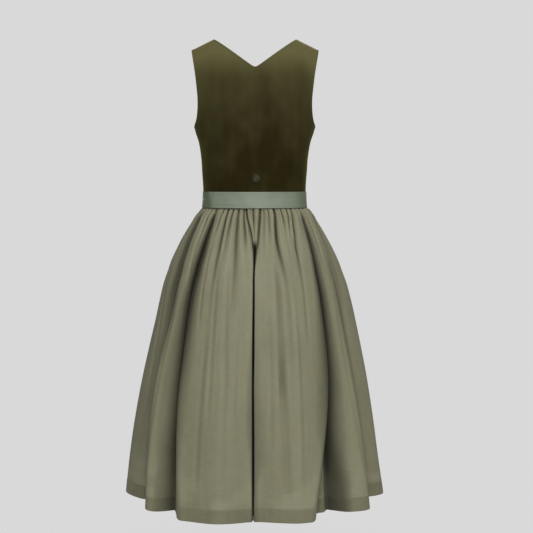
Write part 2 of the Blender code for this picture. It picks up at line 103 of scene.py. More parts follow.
def curve_through(rows: Sequence[tuple[float, float]], at: Array | float) -> Array:
    """Smooth curve through a few points.

    Args:
        rows: The (x, y) points, in rising x.
        at: Where the curve is wanted. Outside the points it keeps its end value.

    Returns:
        The curve's y at each x.
    """
    xs, ys = np.array(rows, float).T
    slopes = np.gradient(ys, xs)
    at = np.clip(at, xs[0], xs[-1])
    i = np.clip(np.searchsorted(xs, at, side="right") - 1, 0, len(xs) - 2)
    step = xs[i + 1] - xs[i]
    f = (at - xs[i]) / step
    return (
        ys[i] * (1 + 2 * f) * (1 - f) ** 2
        + slopes[i] * step * f * (1 - f) ** 2
        + ys[i + 1] * f * f * (3 - 2 * f)
        + slopes[i + 1] * step * f * f * (f - 1)
    )


def signed_turn(angle: Array | float) -> Array:
    """The same angle in degrees, from -180 to 180."""
    return (angle + 180.0) % 360.0 - 180.0


def grid_normals(grid: Array) -> Array:
    """Outward unit normals of a grid whose rows run up and whose columns run clockwise seen from above."""
    normal = np.cross(np.gradient(grid, axis=0), np.gradient(grid, axis=1))
    return normal / np.maximum(np.linalg.norm(normal, axis=2, keepdims=True), 1e-12)


def lifted(grid: Array, height: Array) -> Array:
    """The grid moved outwards along its normals by a height in metres at each point."""
    return grid + grid_normals(grid) * height[..., None]


def cloth_noise(u: Array, v: Array, across: float, along: float, seed: float) -> Array:
    """Smooth noise on the cloth.

    Args:
        u: Place across the cloth in metres.
        v: Place along the cloth in metres.
        across: Size of a wrinkle across the cloth.
        along: Size of a wrinkle along the cloth.
        seed: Picks another part of the same noise.

    Returns:
        Values from about -1 to 1, in the shape of u and v.
    """
    flat = [
        noise.noise(Vector((a / across, b / along, seed)))
        for a, b in zip(np.broadcast_to(u, v.shape).ravel(), v.ravel())
    ]
    return np.array(flat).reshape(v.shape)


def run_lengths(grid: Array, axis: int) -> Array:
    """Distance along the grid's lines from their start, in metres.

    Args:
        grid: Points in rows and columns.
        axis: 0 to run from row to row, 1 from column to column.

    Returns:
        The distance at each point.
    """
    lengths = np.cumsum(np.linalg.norm(np.diff(grid, axis=axis), axis=2), axis=axis)
    return np.insert(lengths, 0, 0.0, axis=axis)


# ------------------------------------------------------------------ helpers for objects


def link(obj: Object) -> Object:
    """Put an object in the scene."""
    bpy.context.scene.collection.objects.link(obj)
    return obj


def grid_mesh(name: str, *surfaces: tuple[Array, Array]) -> Mesh:
    """One mesh of surfaces that each run through a grid of points.

    Args:
        name: Name of the mesh.
        surfaces: For each surface its points, rows upwards and columns clockwise seen from above, and
            the cloth's own coordinates of each point, in metres.

    Returns:
        The mesh, with smooth faces that point outwards and the weave as its UV map.
    """
    faces, count = [], 0
    for grid, _ in surfaces:
        index = count + np.arange(grid[..., 0].size).reshape(grid.shape[:2])
        corners = (index[:-1, :-1], index[1:, :-1], index[1:, 1:], index[:-1, 1:])
        faces.append(np.stack(corners, axis=-1).reshape(-1, 4))
        count += index.size
    points = np.concatenate([grid.reshape(-1, 3) for grid, _ in surfaces])
    weave = np.concatenate([coordinates.reshape(-1, 2) for _, coordinates in surfaces])
    mesh = bpy.data.meshes.new(name)
    mesh.from_pydata(points.tolist(), [], np.concatenate(faces).tolist())
    layer = mesh.uv_layers.new(name=WEAVE_UV)
    corners = np.zeros(len(mesh.loops), np.int32)
    mesh.loops.foreach_get("vertex_index", corners)
    layer.data.foreach_set("uv", weave[corners].astype(np.float32).ravel())
    mesh.shade_smooth()
    return mesh


def add_attribute(mesh: Mesh, name: str, values: Array) -> None:
    """Store a number at each point of a mesh."""
    made = mesh.attributes.new(name, "FLOAT", "POINT")
    made.data.foreach_set("value", values.astype(np.float32).ravel())


def dress(obj: Object, slot: Slot, *materials: Material) -> Object:
    """Give a piece its materials, log its slot, and let it ride on the dress.

    Args:
        obj: The piece.
        slot: Its material slot.
        materials: Its outer finish and, on cloth, that of its inner side.

    Returns:
        The piece.
    """
    for material in materials:
        obj.data.materials.append(material)
    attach(obj, ROOT_BODY)
    log.info("%s: %d faces, slot %s", obj.name, len(obj.data.polygons), slot.value)
    return obj


# ------------------------------------------------------------------ node helpers


Inputs = dict[int | str, object]  # what goes into a node, by the name or place of each input


class Value:
    """What a socket of a node tree gives. Sums and products of numbers make Math nodes."""

    def __init__(self, builder: "NodeBuilder", socket: NodeSocket) -> None:
        """Keep the socket and the builder of its tree."""
        self.builder, self.socket = builder, socket

    def math(self, operation: str, *others: object) -> "Value":
        """The result of a Math node that starts with this number."""
        return self.builder.math(operation, self, *others)

    def __add__(self, other: object) -> "Value":
        """The sum."""
        return self.math("ADD", other)

    def __sub__(self, other: object) -> "Value":
        """The difference."""
        return self.math("SUBTRACT", other)

    def __rsub__(self, other: float) -> "Value":
        """What is left of a plain number."""
        return self.builder.math("SUBTRACT", other, self)

    def __mul__(self, other: object) -> "Value":
        """The product."""
        return self.math("MULTIPLY", other)

    def __truediv__(self, other: object) -> "Value":
        """The quotient."""
        return self.math("DIVIDE", other)

    __radd__, __rmul__ = __add__, __mul__

    def clamped(self) -> "Value":
        """The same number, held between 0 and 1 by the Math node that makes it."""
        self.socket.node.use_clamp = True
        return self

    def ramp(self, low: float, high: float, start: float = 0.0, end: float = 1.0) -> "Value":
        """A smooth step from start, where this number is low, to end, where it is high."""
        inputs = dict(enumerate((self, low, high, start, end)))
        return self.builder.value("ShaderNodeMapRange", inputs, interpolation_type="SMOOTHSTEP")

    def parts(self) -> list["Value"]:
        """The three numbers of a vector."""
        apart = self.builder.node("ShaderNodeSeparateXYZ", {0: self})
        return [Value(self.builder, socket) for socket in apart.outputs]

    def stretched(self, *scale: float) -> "Value":
        """The vector multiplied along each axis."""
        return self.builder.value("ShaderNodeVectorMath", {0: self, 1: scale}, operation="MULTIPLY")

    def noise(self, scale: object, detail: float = 2.0, rough: float = 0.5) -> "Value":
        """A noise texture's value at the vector."""
        inputs = {"Vector": self, "Scale": scale, "Detail": detail, "Roughness": rough}
        return self.builder.value("ShaderNodeTexNoise", inputs)


class NodeBuilder:
    """Short calls for building a node tree."""

    def __init__(self, tree: NodeTree) -> None:
        """Keep the tree."""
        self.tree = tree

    def fill(self, node: Node, inputs: Inputs) -> None:
        """Link or set inputs of a node.

        Args:
            node: The node.
            inputs: A Value or a constant for each.
        """
        for key, given in inputs.items():
            if isinstance(given, Value):
                self.tree.links.new(given.socket, node.inputs[key])
            else:
                node.inputs[key].default_value = given

    def node(self, kind: str, inputs: Optional[Inputs] = None, **settings: object) -> Node:
        """A new node.

        Args:
            kind: Its type.
            inputs: What goes into it, as in fill.
            settings: Its other settings.

        Returns:
            The node.
        """
        node = self.tree.nodes.new(kind)
        for name, setting in settings.items():
            setattr(node, name, setting)
        self.fill(node, inputs or {})
        return node

    def value(self, kind: str, inputs: Optional[Inputs] = None, **settings: object) -> Value:
        """The first output of a new node."""
        return Value(self, self.node(kind, inputs, **settings).outputs[0])

    def math(self, operation: str, *values: object) -> Value:
        """A Math node's result."""
        return self.value("ShaderNodeMath", dict(enumerate(values)), operation=operation)

    def vector(self, *numbers: object) -> Value:
        """A vector of up to three numbers."""
        return self.value("ShaderNodeCombineXYZ", dict(enumerate(numbers)))

    def weave(self) -> Value:
        """The cloth's own coordinates."""
        return self.value("ShaderNodeUVMap", uv_map=WEAVE_UV)

    def place(self) -> Value:
        """The place on the piece, in its Object coordinates."""
        return Value(self, self.node("ShaderNodeTexCoord").outputs["Object"])

    def mix(self, share: Value, first: object, second: object) -> Value:
        """A colour mixed from two.

        Args:
            share: How much of the second it has.
            first: One colour.
            second: The other colour.

        Returns:
            The mixed colour.
        """
        node = self.node("ShaderNodeMix", {"Factor": share}, data_type="RGBA")
        places = [i for i, socket in enumerate(node.inputs) if socket.type == "RGBA"]
        self.fill(node, dict(zip(places, (first, second))))
        return Value(self, next(socket for socket in node.outputs if socket.type == "RGBA"))

    def bump(self, height: Value, strength: float, distance: float) -> Value:
        """A Bump node's normal."""
        return self.value("ShaderNodeBump", {"Height": height, "Strength": strength, "Distance": distance})


def new_tree(
    name: str, kind: str, inputs: dict[str, str], outputs: dict[str, str]
) -> tuple[NodeBuilder, dict[str, Value], Node]:
    """An empty node group.

    Args:
        name: Its name.
        kind: "Shader" or "Geometry".
        inputs: The kind of each input by its name, such as {"Pitch": "Float"}.
        outputs: The kind of each output by its name.

    Returns:
        The builder, what each input gives and the group's output node.
    """
    tree = bpy.data.node_groups.new(name, f"{kind}NodeTree")
    for way, sockets in (("INPUT", inputs), ("OUTPUT", outputs)):
        for label, socket_kind in sockets.items():
            tree.interface.new_socket(label, in_out=way, socket_type=f"NodeSocket{socket_kind}")
    b = NodeBuilder(tree)
    entry, result = b.node("NodeGroupInput"), b.node("NodeGroupOutput")
    return b, {label: Value(b, entry.outputs[label]) for label in inputs}, result


# ------------------------------------------------------------------ effects that several finishes share


class SharedEffects:
    """Shader groups of woven cloth, each built once and placed in each finish with its own values."""

    def __init__(self) -> None:
        """Build the groups."""
        self.ribs_tree = self.build_ribs()
        self.tone_tree = self.build_tone()

    def build_ribs(self) -> NodeTree:
        """Ribs across the cloth crossed by threads, from its own coordinates in metres.

        Returns:
            The group.
        """
        inputs = {"Weave": "Vector", "Rib Pitch": "Float", "Thread Pitch": "Float", "Waviness": "Float"}
        b, given, result = new_tree("woven_ribs", "Shader", inputs, {"Ribs": "Float", "Threads": "Float"})
        drift = (given["Weave"].noise(60.0) - 0.5) * given["Waviness"]
        across, along, _ = given["Weave"].parts()
        for label, place, pitch in (("Ribs", along, "Rib Pitch"), ("Threads", across, "Thread Pitch")):
            turns = (place + drift) * (2 * math.pi) / given[pitch]
            b.fill(result, {label: turns.math("SINE") * 0.5 + 0.5})
        return b.tree

    def build_tone(self) -> NodeTree:
        """Slow, stretched variation of a cloth's tone along its length, with finer slubs in it.

        Returns:
            The group.
        """
        inputs = {"Weave": "Vector", "Patch": "Float", "Streak": "Float", "Streak Share": "Float"}
        b, given, result = new_tree("cloth_mottle", "Shader", inputs, {"Tone": "Float"})
        patches = given["Weave"].noise(given["Patch"], 3.0)
        streaks = given["Weave"].stretched(1.0, 0.12, 1.0).noise(given["Streak"], 4.0)
        b.fill(result, {"Tone": patches + (streaks - patches) * given["Streak Share"]})
        return b.tree

    def ribs(self, weave: Value, rib: float, thread: float, waviness: float = 0.0004) -> list[Value]:
        """Place the ribs in a finish.

        Args:
            weave: The cloth's coordinates.
            rib: Distance from rib to rib in metres.
            thread: Distance from thread to thread.
            waviness: How far they wander.

        Returns:
            The height of the ribs and that of the threads, from 0 to 1.
        """
        inputs = dict(enumerate((weave, rib, thread, waviness)))
        placed = weave.builder.node("ShaderNodeGroup", node_tree=self.ribs_tree)
        weave.builder.fill(placed, inputs)
        return [Value(weave.builder, socket) for socket in placed.outputs]

    def tone(self, weave: Value, patch: float = 18.0, streak: float = 70.0, share: float = 0.5) -> Value:
        """Place the mottle in a finish.

        Args:
            weave: The cloth's coordinates.
            patch: Scale of its patches.
            streak: Scale of its streaks.
            share: How much of it is streaks.

        Returns:
            The tone, about 0.5.
        """
        placed = weave.builder.node("ShaderNodeGroup", node_tree=self.tone_tree)
        weave.builder.fill(placed, dict(enumerate((weave, patch, streak, share))))
        return Value(weave.builder, placed.outputs[0])


SHARED = SharedEffects()


# ------------------------------------------------------------------ finishes


Colour = tuple[float, float, float, float]


def new_material(name: str) -> tuple[Material, NodeBuilder, Node]:
    """Make an empty material.

    Args:
        name: Its name.

    Returns:
        The material, the builder of its nodes and its Principled shader.
    """
    material = bpy.data.materials.new(name)
    material.use_nodes = True
    return material, NodeBuilder(material.node_tree), material.node_tree.nodes["Principled BSDF"]


@dataclass(frozen=True)
class VelvetFinish:
    """Dark olive cotton velvet with a short pile, painted lighter towards the shoulders and more on the right
    one as painted light, with a painted sheen along the upper sides and a darker patch low beside the middle.
    """

    deep: Colour = (0.0170, 0.0128, 0.0022, 1.0)
    # the velvet's colour in full painted light
    brushed: Colour = (0.1140, 0.1040, 0.0430, 1.0)
    sheen_tint: Colour = (0.52, 0.49, 0.14, 1.0)
    sheen: float = 0.20
    waist_z: float = -0.42
    shoulder_z: float = 0.02

    def build(self) -> Material:
        """Look of the velvet's outer side.

        Returns:
            The material.
        """
        material, b, shader = new_material("velvet")
        weave = b.weave()
        x, _, z = b.place().parts()
        tone = SHARED.tone(weave, 14.0, 46.0, 0.45)
        # painted light: lighter towards the shoulders and more on the right one, a painted sheen along the
        # upper sides, and a darker patch low beside the middle
        height = z.ramp(self.waist_z, self.shoulder_z, 0.0, 0.38) + z.ramp(-0.10, 0.01, 0.0, 0.80)
        right_shoulder_light = x.ramp(-0.16, 0.10, 0.14, 0.0) * z.ramp(-0.16, -0.04)
        from_middle = x.math("ABSOLUTE")
        low_patch = from_middle.ramp(0.007, 0.019) * from_middle.ramp(0.030, 0.055, 1.0, 0.0)
        low_patch = low_patch * (z.ramp(-0.34, -0.29) * z.ramp(-0.24, -0.20, 1.0, 0.0))
        rim = from_middle.ramp(0.115, 0.158, 0.0, 0.30) * z.ramp(-0.24, -0.15)
        height = height + right_shoulder_light - low_patch * 0.09 + rim
        blotches = weave.stretched(1.0, 0.8, 1.0).noise(11.0)
        # the painted light, with random tone and blotches mixed in
        light_and_tone = (height + (tone - 0.5) * 0.50 + (blotches - 0.5) * 0.45).clamped()
        pile = weave.noise(2600.0, 2.0, 0.6)
        crush = weave.stretched(1.0, 0.4, 1.0).noise(160.0, 3.0, 0.55)
        surface = {
            "Base Color": b.mix(pile * 0.35, b.mix(light_and_tone, self.deep, self.brushed), self.deep),
            "Roughness": tone * -0.10 + 0.92,
            "Normal": b.bump(crush * 0.6 + pile * 0.4, 0.30, 0.0008),
            "Specular IOR Level": 0.07,
            "Sheen Weight": self.sheen,
            "Sheen Roughness": 0.42,
            "Sheen Tint": self.sheen_tint,
        }
        b.fill(shader, surface)
        return material


@dataclass(frozen=True)
class VelvetBackFinish:
    """The velvet's plain woven back, inside the bodice."""

    dark: Colour = (0.030, 0.027, 0.012, 1.0)
    light: Colour = (0.052, 0.048, 0.025, 1.0)
    thread_pitch: float = 0.0007

    def build(self) -> Material:
        """Look of the bodice's inner side.

        Returns:
            The material.
        """
        material, b, shader = new_material("velvet_back")
        weave = b.weave()
        ribs, threads = SHARED.ribs(weave, self.thread_pitch, self.thread_pitch)
        crossing = ribs * threads
        share = (crossing * 0.5 + SHARED.tone(weave)).clamped()
        surface = {
            "Base Color": b.mix(share, self.dark, self.light),
            "Normal": b.bump(crossing, 0.35, 0.0002),
            "Roughness": 0.88,
            "Specular IOR Level": 0.2,
        }
        b.fill(shader, surface)
        return material


@dataclass(frozen=True)
class SkirtClothFinish:
    """Grey-olive cotton with a slight lustre and fine ribs across it, a plainer turned-up hem painted a little
    darker as painted shade, painted shade in its folds and painted highlight on their ridges.
    """

    shade: Colour = (0.142, 0.138, 0.082, 1.0)
    lit: Colour = (0.242, 0.236, 0.152, 1.0)
    warm: Colour = (0.215, 0.200, 0.112, 1.0)
    # colour that the painted shade deep in the folds darkens to
    deep: Colour = (0.012, 0.0105, 0.0045, 1.0)
    fold_shade: float = 0.985  # how far the painted shade darkens the cloth deep in a fold
    hem_depth: float = 0.033
    rib_pitch: float = 0.0050
    ribs_end: float = 0.150  # height above the hem at which the cross ribs have faded

    def build(self) -> Material:
        """Look of the skirt.

        Returns:
            The material.
        """
        material, b, shader = new_material("skirt_cloth")
        weave = b.weave()
        above_hem = weave.parts()[1]
        # painted shade of the folds, and painted highlight below 0 on the ridges
        hollow = Value(b, b.node("ShaderNodeAttribute", attribute_name=PAINTED_SHADING).outputs["Fac"])
        tone = SHARED.tone(weave, 9.0, 85.0, 0.40)
        crossing = weave.stretched(0.30, 1.0, 1.0).noise(170.0)
        crumpled = weave.noise(60.0)
        over_hem = above_hem.ramp(self.hem_depth - 0.0006, self.hem_depth + 0.0006)
        fading = over_hem * above_hem.ramp(self.hem_depth, self.ribs_end, 1.0, 0.0)
        patches = weave.stretched(1.0, 1.6, 1.0).noise(11.0, 1.0).ramp(0.40, 0.62)
        ribs = SHARED.ribs(weave, self.rib_pitch, 0.0042, 0.0008)[0] * fading * patches
        lightness = (tone - 0.5) * 0.75 + 0.52 + ((crossing - 0.5) + (crumpled - 0.5)) * 0.26 + ribs
        # painted highlight on the ridges, and painted shade over the doubled hem
        lightness = lightness + hollow.ramp(-0.50, -0.06, 0.12, 0.0) + (over_hem - 1.0) * 0.34
        hue = weave.noise(16.0).ramp(0.45, 0.75, 0.0, 0.35)
        colour = b.mix(hue, b.mix(lightness.clamped(), self.shade, self.lit), self.warm)
        fine_ribs, fine_threads = SHARED.ribs(weave, 0.0011, 0.0009, 0.0003)
        slubs = weave.stretched(1.0, 0.10, 1.0).noise(420.0)
        relief = slubs * 0.5 + ribs * 0.9 + (fine_threads * 0.35 + fine_ribs * 0.65) * 0.3
        # Base Color darkens towards the fold colour with the painted fold shade
        surface = {
            "Base Color": b.mix(hollow.ramp(-0.10, 1.35, 0.0, self.fold_shade), colour, self.deep),
            "Roughness": tone * -0.16 + 0.66,
            "Normal": b.bump(relief, 0.35, 0.0004),
            "Specular IOR Level": 0.26,
            "Sheen Weight": 0.04,
            "Sheen Roughness": 0.5,
        }
        b.fill(shader, surface)
        return material


@dataclass(frozen=True)
class RibbonFinish:
    """Sage-green ribbon with a satin face, fine lines along it and firm selvedges, with a painted highlight
    along both selvedges and painted shade at its sides, where it turns away.
    """

    shade: Colour = (0.132, 0.165, 0.115, 1.0)
    lit: Colour = (0.205, 0.240, 0.182, 1.0)
    turned: Colour = (0.051, 0.077, 0.003, 1.0)  # painted shade where it turns away at the sides
    line_pitch: float = 0.0019
    width: float = 0.0402
    selvedge: float = 0.0012

    def build(self) -> Material:
        """Look of the ribbon.

        Returns:
            The material.
        """
        material, b, shader = new_material("ribbon")
        weave = b.weave()
        along, up, _ = weave.parts()
        lines, threads = SHARED.ribs(weave, self.line_pitch, 0.0006, 0.0002)
        long_grain = weave.stretched(0.02, 1.0, 1.0).noise(190.0, 3.0, 0.7)
        tone = SHARED.tone(weave, 12.0, 40.0, 0.2)
        # painted highlight along both selvedges
        from_edge = up.math("MINIMUM", self.width - up)
        edge = from_edge.ramp(self.selvedge * 0.6, self.selvedge * 1.3, 1.0, 0.0)
        lightness = (tone - 0.5) * 0.5 + 0.60 + (long_grain - 0.5) * 1.50 + edge * 0.30
        colour = b.mix(lightness.clamped(), self.shade, self.lit)
        # painted shade at the ribbon's sides, where it turns away from the light
        slant = up * 0.34 + along
        left_end_shade = slant.ramp(0.255, 0.276, 1.0, 0.0) * slant.ramp(0.12, 0.20)
        right_end_shade = along.ramp(0.468, 0.535) * along.ramp(0.56, 0.62, 1.0, 0.0)
        ends = (left_end_shade * 0.66).math("MAXIMUM", right_end_shade * 0.42)
        surface = {
            "Base Color": b.mix(ends, colour, self.turned),
            "Roughness": long_grain * 0.22 + 0.34,
            "Normal": b.bump(lines * 0.5 + threads * 0.5, 0.25, 0.0002),
            "Specular IOR Level": 0.4,
            "Sheen Weight": 0.08,
        }
        b.fill(shader, surface)
        return material


@dataclass(frozen=True)
class HornFinish:
    """Dark olive horn, polished, with cloudy streaks and fine scuffs."""

    dark: Colour = (0.012, 0.011, 0.004, 1.0)
    cloudy: Colour = (0.052, 0.052, 0.020, 1.0)

    def build(self) -> Material:
        """Look of the button.

        Returns:
            The material.
        """
        material, b, shader = new_material("button_horn")
        place = b.place()
        streaks = place.stretched(1.0, 1.0, 0.35).noise(420.0, 4.0, 0.6)
        scuffs = place.noise(2400.0)
        surface = {
            "Base Color": b.mix(streaks.ramp(0.40, 0.68), self.dark, self.cloudy),
            "Roughness": scuffs * 0.20 + 0.42,
            "Normal": b.bump(scuffs, 0.12, 0.0001),
            "Specular IOR Level": 0.15,
            "Coat Weight": 0.03,
            "Coat Roughness": 0.25,
        }
        b.fill(shader, surface)
        return material


@dataclass(frozen=True)
class ThreadFinish:
    """Sewing thread in one colour, with its twist."""

    name: str
    colour: Colour

    def build(self) -> Material:
        """Look of the thread.

        Returns:
            The material.
        """
        material, b, shader = new_material(self.name)
        twist = b.place().noise(3200.0, 1.0)
        dark = (*(0.7 * part for part in self.colour[:3]), 1.0)
        normal = b.bump(twist, 0.3, 0.0001)
        b.fill(shader, {"Base Color": b.mix(twist, dark, self.colour), "Normal": normal, "Roughness": 0.5})
        return material


# ------------------------------------------------------------------ geometry node helpers


def geometry_tree(name: str, inputs: dict[str, str]) -> tuple[NodeBuilder, dict[str, Value], Node]:
    """An empty geometry node tree with a geometry input and output, as in new_tree."""
    geometry = {"Geometry": "Geometry"}
    return new_tree(name, "Geometry", {**geometry, **inputs, "Material": "Material"}, geometry)


def finish_tree(b: NodeBuilder, material: Value, result: Node, made: Value) -> NodeTree:
    """End a geometry tree in Realize Instances and Set Material.

    Args:
        b: The tree's builder.
        material: Its material input.
        result: Its output node.
        made: The geometry to give out.

    Returns:
        The tree.
    """
    real = b.value("GeometryNodeRealizeInstances", {0: made})
    b.fill(result, {0: b.value("GeometryNodeSetMaterial", {"Geometry": real, "Material": material})})
    return b.tree


def grown(name: str, base: Mesh, tree: NodeTree, values: dict[str, object]) -> Object:
    """Run a geometry tree on a mesh and keep the result as a plain mesh.

    Args:
        name: Name of the finished object.
        base: The mesh that the tree starts from.
        tree: The geometry node tree.
        values: Its inputs by name.

    Returns:
        The finished object, with no modifier.
    """
    obj = link(bpy.data.objects.new(name, base))
    modifier = obj.modifiers.new("grown", "NODES")
    modifier.node_group = tree
    for socket in tree.interface.items_tree:
        if socket.item_type == "SOCKET" and socket.in_out == "INPUT" and socket.name in values:
            modifier[socket.identifier] = values[socket.name]
    obj.update_tag()
    bpy.context.view_layer.update()
    evaluated = obj.evaluated_get(bpy.context.evaluated_depsgraph_get())
    mesh = bpy.data.meshes.new_from_object(evaluated)
    mesh.name = name
    obj.modifiers.remove(modifier)
    obj.data = mesh
    bpy.data.meshes.remove(base)
    return obj


# ------------------------------------------------------------------ sewing


@dataclass(frozen=True)
class SeamLine:
    """A line of sewing: points on the cloth with the cloth's outward direction at each."""

    points: Array
    outward: Array


@dataclass
class Stitching:
    """Rows of single stitches along seam lines, laid by Geometry Nodes."""

    pitch: float = 0.0030
    thread: float = 0.00055
    share: float = 0.68  # of the pitch that a stitch fills
    wander: float = 0.06
    seed: int = 5

    def __post_init__(self) -> None:
        """Build the tree that sets one small thread loop at every pitch along the lines."""
        inputs = {"Pitch": "Float", "Thread": "Float", "Length": "Float", "Wander": "Float", "Seed": "Int"}
        b, given, result = geometry_tree("stitch_rows", inputs)
        curve = b.value("GeometryNodeMeshToCurve", {0: given["Geometry"]})
        spaced = b.value("GeometryNodeResampleCurve", {"Curve": curve, "Length": given["Pitch"]}, mode="LENGTH")
        loop = b.value("GeometryNodeMeshUVSphere", {"Segments": 6, "Rings": 5, "Radius": 0.5})
        size = b.vector(given["Length"], given["Thread"], given["Thread"])
        shaped = b.value("GeometryNodeTransform", {"Geometry": loop, "Scale": size})
        outward = b.value("GeometryNodeInputNamedAttribute", {"Name": OUTWARD}, data_type="FLOAT_VECTOR")
        drift = b.value("FunctionNodeRandomValue", {"Seed": given["Seed"]}, data_type="FLOAT_VECTOR")
        centred = b.value("ShaderNodeVectorMath", {0: drift, 1: (0.5, 0.5, 0.5)}, operation="SUBTRACT")
        scaled = b.value("ShaderNodeVectorMath", {0: centred, "Scale": given["Wander"]}, operation="SCALE")
        tangent = b.value("GeometryNodeInputTangent")
        heading = b.value("ShaderNodeVectorMath", {0: tangent, 1: scaled}, operation="ADD")
        axes = {"primary_axis": "Z", "secondary_axis": "X"}
        turns = {"Primary Axis": outward, "Secondary Axis": heading}
        turned = b.value("FunctionNodeAxesToRotation", turns, **axes)
        stitch = {"Points": spaced, "Instance": shaped, "Rotation": turned}
        placed = b.value("GeometryNodeInstanceOnPoints", stitch)
        self.tree = finish_tree(b, given["Material"], result, placed)

    def lay(self, name: str, lines: Sequence[SeamLine], slot: Slot, thread: Material) -> Object:
        """Lay stitches along seam lines.

        Args:
            name: Name of the piece.
            lines: The lines to sew.
            slot: Material slot that the thread belongs to.
            thread: The thread's material.

        Returns:
            The finished stitches as one object.
        """
        points = np.concatenate([line.points for line in lines])
        ends = np.cumsum([len(line.points) for line in lines]) - 1
        edges = [(i, i + 1) for i in range(len(points) - 1) if i not in ends]
        base = bpy.data.meshes.new(name)
        base.from_pydata(points.tolist(), edges, [])
        attribute = base.attributes.new(OUTWARD, "FLOAT_VECTOR", "POINT")
        outward = np.concatenate([line.outward for line in lines])
        attribute.data.foreach_set("vector", outward.astype(np.float32).ravel())
        sizes = {"Pitch": self.pitch, "Thread": self.thread, "Length": self.pitch * self.share}
        values = {**sizes, "Wander": self.wander, "Seed": self.seed, "Material": thread}
        made = grown(name, base, self.tree, values)
        made.data.shade_smooth()
        return dress(made, slot)


# ------------------------------------------------------------------ bodice


@dataclass(frozen=True)
class Pucker:
    """A short upright pucker of the velvet, just above the band."""

    x: float
    top: float
    rise: float
    half_width: float
    slant: float = 0.0  # sideways drift over its height


